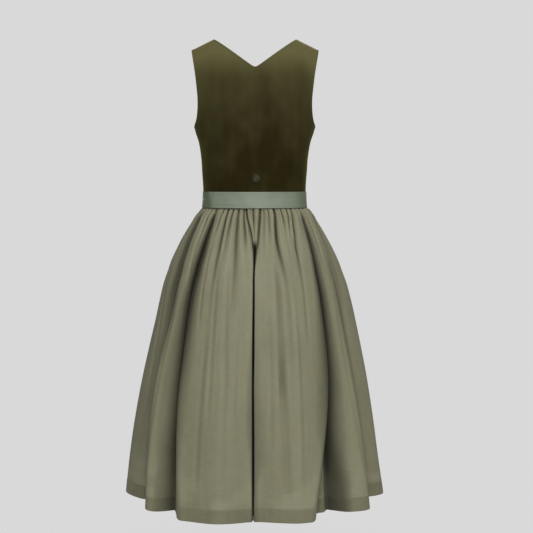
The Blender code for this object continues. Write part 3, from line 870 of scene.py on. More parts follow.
@dataclass
class Bodice:
    """Sleeveless velvet bodice: one back and two fronts, with a V neck and turned edges."""

    seam_gap: float = 0.0003
    wall: float = 0.0014
    neck_point: tuple[float, float] = (0.1053, 0.0095)
    shoulder_tip: tuple[float, float] = (0.1612, -0.0175)
    underarm_z: float = -0.2119
    waist_seam_z: float = -0.3970
    band_top_z: float = -0.3752
    back_neck_tip_z: float = -0.0675
    front_neck_tip_z: float = -0.1800
    shoulder_start_z: float = -0.1350
    shoulder_roll: float = 2.3
    bust: tuple[float, float, float] = (0.0820, -0.2350, 0.0270)  # place across, height, fullness
    bust_spread: tuple[float, float, float] = (0.0500, 0.0480, 0.0700)  # across, up, down
    squareness: float = 0.10
    underarm_ease: float = 0.0006
    lean: float = -0.0021
    neck_column: float = 0.5
    columns: int = 72
    rows_below_arm: int = 52
    rows_above_arm: int = 46
    facing_width: float = 0.0058  # the turned edge, held down by its row of stitches
    facing_rise: float = 0.00045
    stitch_dent: float = 0.00035
    edge_round: float = 0.0007
    seam_dent: float = 0.0004
    pucker_gain: float = 1.7
    pucker_foot_z: float = -0.378
    stitch_lift: float = 0.0001
    allowance_half: float = 0.0040
    allowance_trim: float = 0.0006
    allowance_gap: float = 0.0003
    edge_rows: tuple[float, ...] = (
        *(0.0150, 0.0125, 0.0105, 0.0090, 0.0080, 0.0072, 0.0064, 0.0056, 0.0048, 0.0040),
        *(0.0032, 0.0025, 0.0018, 0.0012, 0.0007, 0.0004, 0.0002, 0.00008, 0.0),
    )
    # height, half width
    side_seam: Table = (
        (-0.4030, 0.1310), (-0.3757, 0.1310), (-0.3497, 0.1323), (-0.3237, 0.1343), (-0.2977, 0.1356),
        (-0.2717, 0.1387), (-0.2457, 0.1437), (-0.2250, 0.1507), (-0.2119, 0.1542),
    )
    # height, half width on the back, half width on the front
    armhole: Table = (
        (-0.2119, 0.1542, 0.1542), (-0.2085, 0.1530, 0.1527), (-0.1990, 0.1487, 0.1475),
        (-0.1750, 0.1440, 0.1390), (-0.1450, 0.1430, 0.1352), (-0.1150, 0.1456, 0.1368),
        (-0.0800, 0.1499, 0.1430), (-0.0450, 0.1560, 0.1525), (-0.0175, 0.1612, 0.1612),
    )
    # height, half width of the rounded body under the straps
    body_width_above: Table = (
        (-0.2085, 0.1555), (-0.1990, 0.1590), (-0.1650, 0.1720), (-0.1200, 0.1810), (0.0600, 0.1880),
    )
    # height, back depth, front depth
    depths: Table = (
        (-0.4030, 0.0985, 0.0965), (-0.3500, 0.0990, 0.0980), (-0.3000, 0.1030, 0.1020),
        (-0.2500, 0.1085, 0.1060), (-0.2000, 0.1120, 0.1050), (-0.1500, 0.1125, 0.0990),
        (-0.1000, 0.1100, 0.0920), (0.0600, 0.1000, 0.0820),
    )
    back_puckers: tuple[Pucker, ...] = tuple(
        Pucker(*row) for row in (
            (0.0945, -0.322, 0.0013, 0.0042, -0.004), (0.0810, -0.338, 0.0009, 0.0030, -0.002),
            (0.0630, -0.345, 0.0007, 0.0045, 0.001), (0.0465, -0.318, 0.0014, 0.0036, -0.003),
            (0.0340, -0.332, 0.0012, 0.0030, -0.001), (0.0145, -0.312, 0.0015, 0.0032, -0.001),
            (0.0060, -0.340, 0.0009, 0.0024, 0.000), (-0.0220, -0.350, 0.0007, 0.0040, 0.001),
            (-0.0400, -0.336, 0.0008, 0.0035, 0.001), (-0.0580, -0.345, 0.0008, 0.0040, 0.002),
            (-0.0735, -0.310, 0.0016, 0.0028, 0.001), (-0.0900, -0.338, 0.0010, 0.0042, 0.003),
            (-0.1080, -0.325, 0.0012, 0.0050, 0.004),
        )
    )
    front_puckers: tuple[Pucker, ...] = tuple(
        Pucker(*row) for row in (
            (0.0150, -0.345, 0.0010, 0.0034, 0.001), (0.0340, -0.322, 0.0013, 0.0038, 0.003),
            (0.0560, -0.336, 0.0010, 0.0040, 0.004), (0.0760, -0.312, 0.0015, 0.0036, 0.004),
            (0.0990, -0.335, 0.0010, 0.0045, 0.002), (0.1150, -0.326, 0.0011, 0.0050, 0.001),
        )
    )
    edges: dict[str, list[SeamLine]] = field(default_factory=dict)

    def shoulder_z(self, x: Array) -> Array:
        """Height of the shoulder line at a distance from the centre."""
        (neck_x, neck_z), (tip_x, tip_z) = self.neck_point, self.shoulder_tip
        return neck_z + (neck_z - tip_z) / (tip_x - neck_x) * (neck_x - x)

    def depth_at(self, x: Array, z: Array, front: bool) -> Array:
        """Distance of the outer cloth from the side plane.

        Args:
            x: Place across the bodice, from its centre.
            z: Height.
            front: Whether it is the front of the bodice.

        Returns:
            The depth, before creases.
        """
        column = 2 if front else 1
        depth = curve_through([(row[0], row[column]) for row in self.depths], z)
        widths = (*self.side_seam, *self.body_width_above)
        across = np.clip(np.abs(x) / curve_through(widths, z), 0.0, 1.0)
        round_share = np.sqrt(1.0 - across**2)
        depth = depth * round_share * (1.0 + self.squareness * across**2)
        if front:
            bust_x, bust_z, fullness = self.bust
            spread_x, up, down = self.bust_spread
            spread_z = np.where(z > bust_z, up, down)
            fading = smooth((z - self.band_top_z) / (bust_z - self.band_top_z))
            for side in (-1, 1):
                away = ((x - side * bust_x) / spread_x) ** 2 + ((z - bust_z) / spread_z) ** 2
                depth = depth + fullness * round_share * fading * np.exp(-0.5 * away)
        start = self.shoulder_start_z
        rise = np.clip((z - start) / (self.shoulder_z(np.abs(x)) - start), 0.0, 1.0)
        return depth * (1.0 - rise**self.shoulder_roll) ** (1.0 / self.shoulder_roll)

    def neckline_z(self, x: Array, front: bool) -> Array:
        """Height of the V neckline.

        Args:
            x: Distance from the centre.
            front: Whether it is the front's.

        Returns:
            The height there.
        """
        tip = self.front_neck_tip_z if front else self.back_neck_tip_z
        round_tip = 0.05
        share = np.sqrt((x / self.neck_point[0]) ** 2 + round_tip**2) - round_tip
        share = share / (math.sqrt(1.0 + round_tip**2) - round_tip)
        bow = 0.10 * np.sin(math.pi * share) if front else 0.0
        return tip + (self.neck_point[1] - tip) * (share - bow)

    def half(self, front: bool, first_column: float) -> Array:
        """Grid of the smooth outer points of one half, on the wearer's left.

        Args:
            front: Whether it is the front.
            first_column: Distance of its centre edge from the middle of the dress.

        Returns:
            Points, rows from the waist up and columns from the centre out.
        """
        tip_x, tip_z = self.shoulder_tip
        q = np.linspace(0.0, 1.0, self.columns + 1)
        over_waist = np.sin(q * math.pi / 2)
        to_neck = np.minimum(q / self.neck_column, 1.0)
        to_tip = np.maximum(q - self.neck_column, 0.0) / (1.0 - self.neck_column)
        top_x = self.neck_point[0] * to_neck + (tip_x - self.neck_point[0]) * to_tip
        top_z = np.where(q <= self.neck_column, self.neckline_z(top_x, front), self.shoulder_z(top_x))
        edge = [(row[0], row[2 if front else 1]) for row in self.armhole]
        rows = []
        for z in np.linspace(self.waist_seam_z + self.seam_gap / 2, self.underarm_z, self.rows_below_arm)[:-1]:
            rows.append((curve_through(self.side_seam, z) * over_waist, np.full_like(q, z)))
        height = top_z - self.underarm_z
        lower = np.linspace(0.0, 1.0, self.rows_above_arm)[:-1, None] ** 1.15
        lower = lower * (1.0 - self.edge_rows[0] / height)
        upper = 1.0 - np.array(self.edge_rows)[:, None] / height
        for share in np.concatenate([lower, upper]):
            edge_z = self.underarm_z + (tip_z - self.underarm_z) * share
            across = (1.0 - share) * over_waist + share * top_x / tip_x
            rows.append((curve_through(edge, edge_z) * across, self.underarm_z + height * share))
        grid = []
        for x, z in rows:
            x = np.maximum(x, first_column)
            ease = self.underarm_ease if z[-1] >= self.underarm_z else 0.0
            y = np.maximum(self.depth_at(x, z, front), self.seam_gap / 2 + ease)
            grid.append(np.stack([x, -y if front else y, z], axis=1))
        return np.array(grid)

    def leant(self, grid: Array) -> Array:
        """Move a panel's top a little sideways.

        Args:
            grid: Its smooth points.

        Returns:
            The moved points.
        """
        moved = grid.copy()
        moved[..., 0] += self.lean * np.maximum(grid[..., 2] - self.band_top_z, 0.0) / -self.band_top_z
        return moved

    def relief(self, grid: Array, side: Side) -> tuple[Array, Array]:
        """Height of the turned edges, seams, puckers and soft wrinkles over one half's smooth form.

        Args:
            grid: The half's smooth grid, columns from the centre out.
            side: Which side of the bodice it is.

        Returns:
            The height at each point, and its distance from the nearest finished edge.
        """
        outer = run_lengths(grid[:, ::-1], 1)[:, ::-1]
        upper = run_lengths(grid[::-1], 0)[::-1]
        below_arm = self.rows_below_arm - 1
        at_neck = np.arange(grid.shape[1]) <= round(self.neck_column * self.columns)
        over_arm = (np.arange(grid.shape[0]) > below_arm)[:, None]
        far = np.full(grid.shape[:2], 1.0)
        lift_off = np.maximum(grid[..., 2][below_arm] - grid[..., 2], 0.0)
        armhole = np.where(over_arm, outer, np.hypot(outer, lift_off))
        slope = 0.81 if side is Side.BACK else 0.50
        neck = np.where(at_neck[None, :], upper * slope, far)
        edge = np.minimum(armhole, neck)
        seams = np.where(over_arm, far, outer)
        seams = np.minimum(seams, np.where(at_neck[None, :], far, upper))
        if side is not Side.BACK:
            seams = np.minimum(seams, run_lengths(grid, 1))
        height = self.facing_rise * (1.0 - smooth((edge - self.facing_width + 0.0012) / 0.0022))
        height -= self.stitch_dent * bell((edge - self.facing_width) / 0.0012)
        height -= self.edge_round * (1.0 - smooth(edge / 0.0011))
        height -= self.seam_dent * cusp(seams / 0.0028)
        return height, edge

    def pucker_height(self, grid: Array, puckers: Sequence[Pucker]) -> Array:
        """Height of the short puckers above the band.

        Args:
            grid: A whole panel's smooth points.
            puckers: Its puckers.

        Returns:
            The height at each point: a ridge for each pucker and a dip beside it.
        """
        x, z = grid[..., 0], grid[..., 2]
        height = np.zeros(x.shape)
        for pucker in puckers:
            up = (z - self.pucker_foot_z) / (pucker.top - self.pucker_foot_z)
            away = (x - pucker.x - pucker.slant * up) / pucker.half_width
            form = self.pucker_gain * bell(away) - 0.9 * bell(away - 1.6)
            height += pucker.rise * form * (1.0 - smooth(up)) * (up < 1.0)
        return height * (0.2 + 0.8 * smooth((z - self.band_top_z) / 0.008))

    def soft_wrinkles(self, grid: Array, seed: float) -> Array:
        """Slow unevenness of the velvet, a little stronger near the waist.

        Args:
            grid: A whole panel's smooth points.
            seed: Picks the panel's own noise.

        Returns:
            The height at each point.
        """
        u, v = grid[..., 0], grid[..., 2]
        slow = cloth_noise(u, v, 0.055, 0.110, seed)
        near_waist = 1.0 - smooth((v - self.band_top_z) / 0.09)
        upright = cloth_noise(u, v, 0.011, 0.070, seed + 7.0)
        return 0.0011 * slow + 0.0007 * upright * near_waist

    def panel(self, side: Side) -> tuple[Array, Array]:
        """Grid of a whole panel's finished outer points.

        Args:
            side: Which panel.

        Returns:
            The points, rows up and columns clockwise seen from above, and their distances from the edge.
        """
        front = side is not Side.BACK
        base = self.half(front, self.seam_gap / 2 if front else 0.0)
        height, edge = self.relief(base, side)
        flip = np.array([-1.0, 1.0, 1.0])
        if side is Side.BACK:
            grid = np.concatenate([(base * flip)[:, ::-1], base[:, 1:]], axis=1)
            height = np.concatenate([height[:, ::-1], height[:, 1:]], axis=1)
            edge = np.concatenate([edge[:, ::-1], edge[:, 1:]], axis=1)
            puckers = self.back_puckers
        elif side is Side.FRONT_LEFT:
            grid, height, edge = base[:, ::-1], height[:, ::-1], edge[:, ::-1]
            puckers = self.front_puckers
        else:
            grid = base * flip
            puckers = tuple(
                Pucker(0.004 - p.x, p.top, 0.85 * p.rise, p.half_width, -p.slant) for p in self.front_puckers
            )
        held = smooth(edge / 0.012)
        creases = self.pucker_height(grid, puckers) + self.soft_wrinkles(grid, 3.0 if front else 1.0)
        return lifted(self.leant(grid), height + creases * held), edge

    def edge_line(self, grid: Array, edge: Array, part: Callable[[Array], Array]) -> SeamLine:
        """The line at the facing's width from the edge, along a range of columns or rows.

        Args:
            grid: A panel's finished points.
            edge: Their distances from the edge.
            part: Picks an array of lines from a grid, each line ending at the edge.

        Returns:
            Where the stitches go.
        """
        lines, distances, normals = part(grid), part(edge[..., None])[..., 0], part(grid_normals(grid))
        points, outward = [], []
        for line, distance, normal in zip(lines, distances, normals):
            beyond = np.nonzero(distance > self.facing_width)[0]
            i = beyond[-1] if len(beyond) else 0
            f = (distance[i] - self.facing_width) / max(distance[i] - distance[i + 1], 1e-9)
            points.append(line[i] * (1 - f) + line[i + 1] * f + normal[i] * self.stitch_lift)
            outward.append(normal[i])
        return SeamLine(np.array(points), np.array(outward))

    def strip(self, seam: Array, across: tuple[float, float, float]) -> Array:
        """The strip of velvet inside one seam.

        Args:
            seam: The seam's points, in order.
            across: Direction across the seam that makes the strip face outwards.

        Returns:
            The strip's points.
        """
        run = run_lengths(seam[:, None], 0)[:, 0]
        seam = seam[(run > self.allowance_trim) & (run < run[-1] - self.allowance_trim)]
        outward = np.cross(np.gradient(seam, axis=0), across)
        outward = outward / np.linalg.norm(outward, axis=1, keepdims=True)
        inner = seam - outward * (self.wall + self.allowance_gap)
        reach = self.allowance_half * np.array(across)
        return np.stack([inner - reach, inner, inner + reach], axis=1)

    def allowances(self, side: Side, grid: Array) -> list[Array]:
        """The strips inside a panel's seams: the back's at the sides and shoulders, and the centre front's.

        Args:
            side: Which panel.
            grid: Its finished points.

        Returns:
            The points of each strip.
        """
        if side is Side.FRONT_RIGHT:
            return []
        if side is Side.FRONT_LEFT:
            return [self.strip(grid[:, -1], (-1.0, 0.0, 0.0))]
        neck = round(self.neck_column * self.columns)
        forwards, backwards = (0.0, -1.0, 0.0), (0.0, 1.0, 0.0)
        return [
            self.strip(grid[: self.rows_below_arm, -1], forwards),
            self.strip(grid[: self.rows_below_arm, 0], backwards),
            self.strip(grid[-1, self.columns + neck :], backwards),
            self.strip(grid[-1, : self.columns - neck + 1][::-1], forwards),
        ]

    def build(self, side: Side, velvet: Material, inside: Material) -> Object:
        """Build one panel and note its seam lines.

        Args:
            side: Which panel.
            velvet: The outer finish.
            inside: The finish of the cloth's back.

        Returns:
            The panel.
        """
        grid, edge = self.panel(side)
        name = f"velvet_{side.value}"
        mesh = grid_mesh(name, *((points, points[..., ::2]) for points in (grid, *self.allowances(side, grid))))
        obj = link(bpy.data.objects.new(name, mesh))
        thicken(obj, self.wall)
        self.note_edges(side, grid, edge)
        return dress(obj, Slot.VELVET, velvet, inside)

    def note_edges(self, side: Side, grid: Array, edge: Array) -> None:
        """Keep the lines where a panel's neck and armhole edges are stitched down.

        Args:
            side: Which panel.
            grid: Its finished points.
            edge: Their distances from the edge.
        """
        neck, middle = round(self.neck_column * self.columns), self.columns
        to_neck = slice(self.rows_below_arm + 1, None)
        to_arm = slice(self.rows_below_arm + 1, -3)
        spans: dict[Side, tuple[Callable[[Array], Array], ...]] = {
            Side.BACK: (
                lambda a: a[to_neck, middle - neck + 2 : middle + neck - 1].transpose(1, 0, 2),
                lambda a: a[to_arm, middle:],
                lambda a: a[to_arm, middle::-1],
            ),
            Side.FRONT_LEFT: (
                lambda a: a[to_neck, -neck + 1 : -2].transpose(1, 0, 2),
                lambda a: a[to_arm, ::-1],
            ),
            Side.FRONT_RIGHT: (
                lambda a: a[to_neck, 2 : neck - 1].transpose(1, 0, 2),
                lambda a: a[to_arm],
            ),
        }
        self.edges[side.value] = [self.edge_line(grid, edge, span) for span in spans[side]]


def thicken(obj: Object, wall: float, doubled: Sequence[int] = (), single_share: float = 1.0) -> None:
    """Give an open surface its cloth's thickness, inwards.

    Args:
        obj: The piece.
        wall: Its thickness.
        doubled: Points where the cloth is double, which keep the full thickness.
        single_share: Share of the thickness elsewhere.
    """
    solid = obj.modifiers.new("wall", "SOLIDIFY")
    solid.thickness = wall
    solid.offset = -1.0
    solid.material_offset = 1
    if len(doubled):
        group = obj.vertex_groups.new(name="doubled")
        group.add([int(i) for i in doubled], 1.0, "REPLACE")
        solid.vertex_group = group.name
        solid.thickness_vertex_group = single_share


# ------------------------------------------------------------------ skirt


@dataclass(frozen=True)
class Gather:
    """One narrow valley of the gathered cloth.

    Angles are in degrees from the centre back towards the wearer's left: at the band, at the upper and middle
    station and at the hem. depth fades out at the share `fade` of the way down, and crease is the hem's depth.
    """

    name: str
    band: float
    upper: float
    middle: float
    hem: float
    depth: float
    fade: float
    crease: float = 0.0
    width: float = 1.0  # how broad its valley is beside the usual one
    bend: float = 0.0  # degrees it swings out by, a third of the way down
    pull: float = 0.0  # degrees it swings out by close below the band
    dark: float = 0.0  # how much painted shade it gets beyond what its depth gives
    dark_at_hem: float = 1.0  # share of that shading left at the hem
    dark_fades: tuple[float, float] = (0.20, 0.75)  # shares of the way down between which it changes
    dark_reach: float = 1.0  # how broad that shading is beside the usual one
    dark_turn: float = 0.0  # degrees that shading lies beside the fold near the band
    dark_turn_at_hem: float = 0.0


@dataclass(frozen=True)
class Trough:
    """One broad valley between two of the skirt's large flutes, deepest at the hem."""

    band: float
    upper: float
    middle: float
    hem: float
    depth: float
    toward_back: float
    toward_front: float
    swell: float = 0.58
    bend: float = 0.0


@dataclass(frozen=True)
class Crease:
    """A soft crease: a trough where depth is positive, a ridge where it is negative."""

    upper: float  # its angle at its upper end
    lower: float  # its angle at its lower end
    start: float  # share of the way down
    end: float
    depth: float
    half_width: float  # degrees


GATHERS: tuple[Gather, ...] = (
    Gather(
        "centre_back", 1.9, 0.60, 0.9, 0.7, 0.0050, 0.12, pull=-1.1,
        dark=0.17, dark_at_hem=3.0, dark_reach=0.36, dark_turn=-0.5, dark_turn_at_hem=-0.5,
    ),
    Gather("back_l1", 5.2, 2.0, 2.4, 2.2, 0.0030, 0.10, pull=-2.1),
    Gather("back_l2", 10.2, 3.6, 4.2, 4.2, 0.0100, 0.17, pull=-4.05),
    Gather("back_l3", 12.2, 7.2, 8.4, 8.4, 0.0080, 0.17, pull=-1.4),
    Gather("back_l4", 17.8, 13.4, 16.8, 16.0, 0.0068, 0.40, 0.0015, width=1.6),
    Gather("back_l5", 23.2, 22.4, 21.6, 21.2, 0.0062, 0.20),
    Gather("back_l6", 29.7, 27.3, 27.8, 27.0, 0.0080, 0.30, 0.0025, pull=-1.0, width=1.4),
    Gather("back_l7", 35.2, 33.6, 35.0, 31.5, 0.0060, 0.10),
    Gather(
        "valley_l1", 47.0, 43.5, 47.0, 45.5, 0.0130, 0.70, 0.0240, bend=2.5,
        dark=1.65, dark_at_hem=0.34, dark_turn_at_hem=5.0,
    ),
    Gather("side_l1", 53.5, 49.8, 53.8, 52.0, 0.0060, 0.12),
    Gather("side_l2", 60.0, 56.0, 60.5, 59.0, 0.0050, 0.14),
    Gather(
        "valley_l2", 67.0, 62.0, 69.0, 67.0, 0.0120, 0.60, 0.0100,
        dark=0.95, dark_at_hem=0.30, dark_turn=4.5,
    ),
    Gather("side_l3", 78.0, 74.5, 79.0, 78.0, 0.0065, 0.18),
    Gather("side_l4", 91.0, 89.0, 88.5, 88.0, 0.0055, 0.16),
    Gather("side_l", 98.0, 98.0, 98.0, 98.0, 0.0075, 0.32, 0.0050),
    Gather("front_l1", 105.0, 105.5, 106.0, 106.0, 0.0060, 0.16),
    Gather("front_l2", 112.0, 112.5, 114.0, 114.0, 0.0105, 0.50, 0.0140, dark=0.60, dark_reach=0.5),
    Gather("front_l3", 120.0, 120.0, 121.0, 121.0, 0.0060, 0.16),
    Gather("front_l4", 127.5, 127.5, 127.0, 126.5, 0.0080, 0.35, 0.0020),
    Gather("front_l5", 134.0, 134.0, 133.0, 132.5, 0.0055, 0.15),
    Gather("front_l6", 142.5, 142.0, 141.0, 141.5, 0.0105, 0.55, 0.0160, dark=0.80, dark_reach=0.5),
    Gather("front_l7", 151.0, 151.0, 150.5, 150.5, 0.0065, 0.18),
    Gather("front_l8", 160.5, 160.0, 160.0, 160.5, 0.0080, 0.40, 0.0020),
    Gather("front_l9", 170.0, 169.5, 170.0, 170.0, 0.0060, 0.16),
    Gather("centre_front", 180.0, 180.0, 180.5, 180.0, 0.0085, 0.45, 0.0100, dark=0.60, dark_reach=0.5),
    Gather("front_r9", 190.0, 190.5, 191.0, 190.5, 0.0060, 0.18),
    Gather("front_r8", 199.5, 199.5, 199.0, 199.5, 0.0075, 0.30, 0.0020),
    Gather("front_r7", 208.0, 208.5, 208.0, 208.5, 0.0055, 0.15),
    Gather("front_r6", 217.0, 217.5, 219.0, 218.5, 0.0105, 0.55, 0.0160, dark=0.80, dark_reach=0.5),
    Gather("front_r5", 226.0, 227.0, 227.5, 227.5, 0.0060, 0.18),
    Gather("front_r4", 234.5, 235.5, 236.0, 236.5, 0.0080, 0.38, 0.0020),
    Gather("front_r3", 243.0, 244.5, 246.0, 246.0, 0.0100, 0.50, 0.0120, dark=0.60, dark_reach=0.5),
    Gather("front_r2", 251.0, 252.5, 254.0, 254.0, 0.0060, 0.18),
    Gather("side_r", 262.0, 262.0, 262.0, 262.0, 0.0070, 0.30, 0.0050),
    Gather("side_r4", 271.0, 275.0, 272.0, 270.5, 0.0070, 0.18),
    Gather(
        "valley_r2", 280.0, 289.0, 286.5, 288.5, 0.0105, 0.55, 0.0120,
        dark=0.48, dark_at_hem=0.2, dark_reach=0.5, dark_turn=-4.5,
    ),
    Gather("side_r3", 286.5, 294.5, 293.0, 295.0, 0.0060, 0.14),
    Gather("side_r2", 293.0, 301.0, 301.0, 305.0, 0.0070, 0.20),
    Gather(
        "valley_r1", 303.0, 310.5, 311.5, 318.0, 0.0130, 0.70, 0.0240,
        dark=1.40, dark_at_hem=0.60, dark_fades=(0.45, 0.85), dark_turn=-1.6, dark_turn_at_hem=-6.6,
    ),
    Gather("back_r9", 309.5, 318.5, 318.0, 325.5, 0.0040, 0.06),
    Gather("back_r8", 316.5, 328.3, 325.0, 331.0, 0.0090, 0.22, pull=1.5, width=1.4),
    Gather("back_r7", 322.5, 332.5, 330.0, 336.0, 0.0068, 0.11, pull=1.0),
    Gather("back_r6", 331.0, 334.8, 332.6, 339.5, 0.0055, 0.10),
    Gather("back_r5", 334.8, 337.2, 336.4, 342.6, 0.0030, 0.08),
    Gather(
        "back_r4", 338.6, 339.5, 340.8, 347.0, 0.0090, 0.24, 0.0022, pull=3.2, width=1.5,
        dark=0.28, dark_at_hem=0.0, dark_reach=0.3,
    ),
    Gather("back_r3", 345.4, 348.4, 350.0, 351.5, 0.0052, 0.16),
    Gather("back_r2", 349.4, 354.6, 356.0, 356.2, 0.0052, 0.16),
    Gather("back_r1", 353.0, 358.2, 359.0, 359.1, 0.0095, 0.18, pull=0.6, width=1.1),
)
TROUGHS: tuple[Trough, ...] = tuple(
    Trough(*row) for row in (
        (0.0, 0.0, 0.0, 0.0, 0.029, 20.0, 18.0, 0.90), (47.0, 44.5, 47.0, 41.5, 0.043, 10.0, 14.0, 0.58, 2.5),
        (67.0, 62.5, 68.5, 64.5, 0.040, 12.5, 28.0), (112.0, 112.5, 114.0, 114.0, 0.030, 13.0, 11.0),
        (142.5, 142.0, 141.0, 141.5, 0.032, 14.0, 12.0), (180.0, 180.0, 180.5, 180.0, 0.026, 14.0, 14.0),
        (217.0, 217.5, 219.0, 218.5, 0.034, 13.0, 13.0), (243.0, 244.5, 246.0, 246.0, 0.028, 12.0, 11.0),
        (280.0, 289.0, 287.0, 289.5, 0.040, 12.5, 14.0), (303.0, 310.0, 312.0, 326.2, 0.062, 10.0, 25.0),
    )
)
# Drop below the waist seam, half width on the wearer's left, half width on the right.
SKIRT_OUTLINE: Table = (
    (0.0000, 0.1304, 0.1304), (0.0120, 0.1308, 0.1308), (0.0180, 0.1318, 0.1326),
    (0.0202, 0.1352, 0.1380), (0.0227, 0.1378, 0.1418), (0.0253, 0.1402, 0.1440),
    (0.0279, 0.1421, 0.1463), (0.0304, 0.1441, 0.1483), (0.0330, 0.1466, 0.1496),
    (0.0356, 0.1488, 0.1520), (0.0407, 0.1528, 0.1552), (0.0460, 0.1562, 0.1580),
    (0.0513, 0.1592, 0.1606), (0.0770, 0.1753, 0.1759), (0.1027, 0.1902, 0.1902),
    (0.1284, 0.2028, 0.2037), (0.1541, 0.2146, 0.2153), (0.1798, 0.2234, 0.2246),
    (0.2055, 0.2326, 0.2343), (0.2569, 0.2455, 0.2487), (0.3083, 0.2570, 0.2605),
    (0.3597, 0.2699, 0.2716), (0.4625, 0.2940, 0.2918), (0.5653, 0.3127, 0.3076),
    (0.6681, 0.3270, 0.3212), (0.7670, 0.3374, 0.3352),
)
# Creases, listed one by one: upper and lower angle, start and end share, depth, half width in degrees.
CREASES: tuple[Crease, ...] = tuple(
    Crease(*row) for row in (
        (14.8, 12.2, -0.02, 0.085, 0.0030, 1.1), (20.6, 19.6, -0.02, 0.070, 0.0026, 1.0),
        (26.4, 24.6, -0.02, 0.095, 0.0030, 1.2), (32.6, 31.0, -0.02, 0.075, 0.0028, 1.1),
        (39.5, 36.6, -0.02, 0.110, 0.0034, 1.4), (43.0, 40.0, -0.02, 0.060, 0.0028, 1.2),
        (351.6, 353.0, -0.02, 0.080, 0.0026, 0.9), (347.6, 348.4, -0.02, 0.100, 0.0028, 1.1),
        (342.0, 344.0, -0.02, 0.070, 0.0026, 1.1), (327.6, 329.6, -0.02, 0.060, 0.0030, 1.1),
        (320.0, 324.0, -0.02, 0.080, 0.0028, 1.2), (313.0, 317.0, -0.02, 0.075, 0.0030, 1.3),
        (298.0, 302.0, -0.02, 0.090, 0.0030, 1.4), (86.5, 84.0, -0.02, 0.100, 0.0028, 1.6),
        (101.5, 102.0, -0.02, 0.080, 0.0028, 1.5), (116.5, 117.5, -0.02, 0.110, 0.0030, 1.5),
        (138.0, 137.0, -0.02, 0.090, 0.0030, 1.4), (147.0, 147.5, -0.02, 0.075, 0.0026, 1.3),
        (155.0, 156.0, -0.02, 0.110, 0.0030, 1.4), (175.5, 175.0, -0.02, 0.080, 0.0028, 1.3),
        (184.5, 185.5, -0.02, 0.095, 0.0028, 1.3), (203.5, 203.0, -0.02, 0.110, 0.0030, 1.4),
        (221.5, 222.5, -0.02, 0.080, 0.0028, 1.4), (247.0, 249.0, -0.02, 0.100, 0.0030, 1.5),
        (266.5, 268.0, -0.02, 0.085, 0.0028, 1.5), (17.9, 14.6, 0.16, 0.60, 0.0024, 2.2),
        (14.6, 14.0, 0.45, 0.98, 0.0026, 2.2), (24.0, 21.5, 0.20, 0.75, 0.0022, 2.0),
        (26.5, 25.5, 0.40, 0.97, 0.0026, 2.2), (8.6, 8.0, 0.30, 0.85, 0.0014, 2.4),
        (33.5, 32.0, 0.12, 0.45, 0.0024, 1.6), (50.5, 49.0, 0.10, 0.40, 0.0024, 1.7),
        (58.0, 57.5, 0.30, 0.90, 0.0026, 2.2), (80.0, 79.0, 0.20, 0.80, 0.0028, 2.4),
        (90.0, 89.0, 0.35, 0.95, 0.0024, 2.6), (104.0, 105.0, 0.15, 0.70, 0.0026, 2.2),
        (123.0, 124.5, 0.25, 0.95, 0.0028, 2.4), (131.0, 130.0, 0.10, 0.50, 0.0024, 1.9),
        (149.0, 151.0, 0.20, 0.95, 0.0028, 2.2), (158.0, 157.5, 0.12, 0.55, 0.0024, 1.8),
        (166.0, 168.0, 0.30, 0.98, 0.0028, 2.3), (174.0, 173.0, 0.08, 0.40, 0.0022, 1.6),
        (188.0, 190.0, 0.20, 0.90, 0.0028, 2.2), (196.0, 195.0, 0.35, 0.98, 0.0024, 2.4),
        (205.0, 206.0, 0.10, 0.55, 0.0024, 1.8), (228.0, 229.0, 0.20, 0.90, 0.0028, 2.3),
        (239.0, 238.0, 0.12, 0.60, 0.0022, 1.8), (256.0, 257.0, 0.25, 0.95, 0.0026, 2.3),
        (270.0, 268.5, 0.20, 0.80, 0.0026, 2.4), (298.0, 299.5, 0.30, 0.95, 0.0026, 2.3),
        (306.5, 308.0, 0.10, 0.35, 0.0022, 1.5), (328.0, 331.0, 0.12, 0.50, 0.0022, 1.8),
        (336.5, 340.5, 0.25, 0.98, -0.0030, 2.4), (345.0, 346.5, 0.18, 0.70, 0.0050, 2.6),
        (346.0, 345.5, 0.45, 0.99, 0.0050, 3.0), (351.5, 352.5, 0.30, 0.85, 0.0016, 1.8),
    )
)


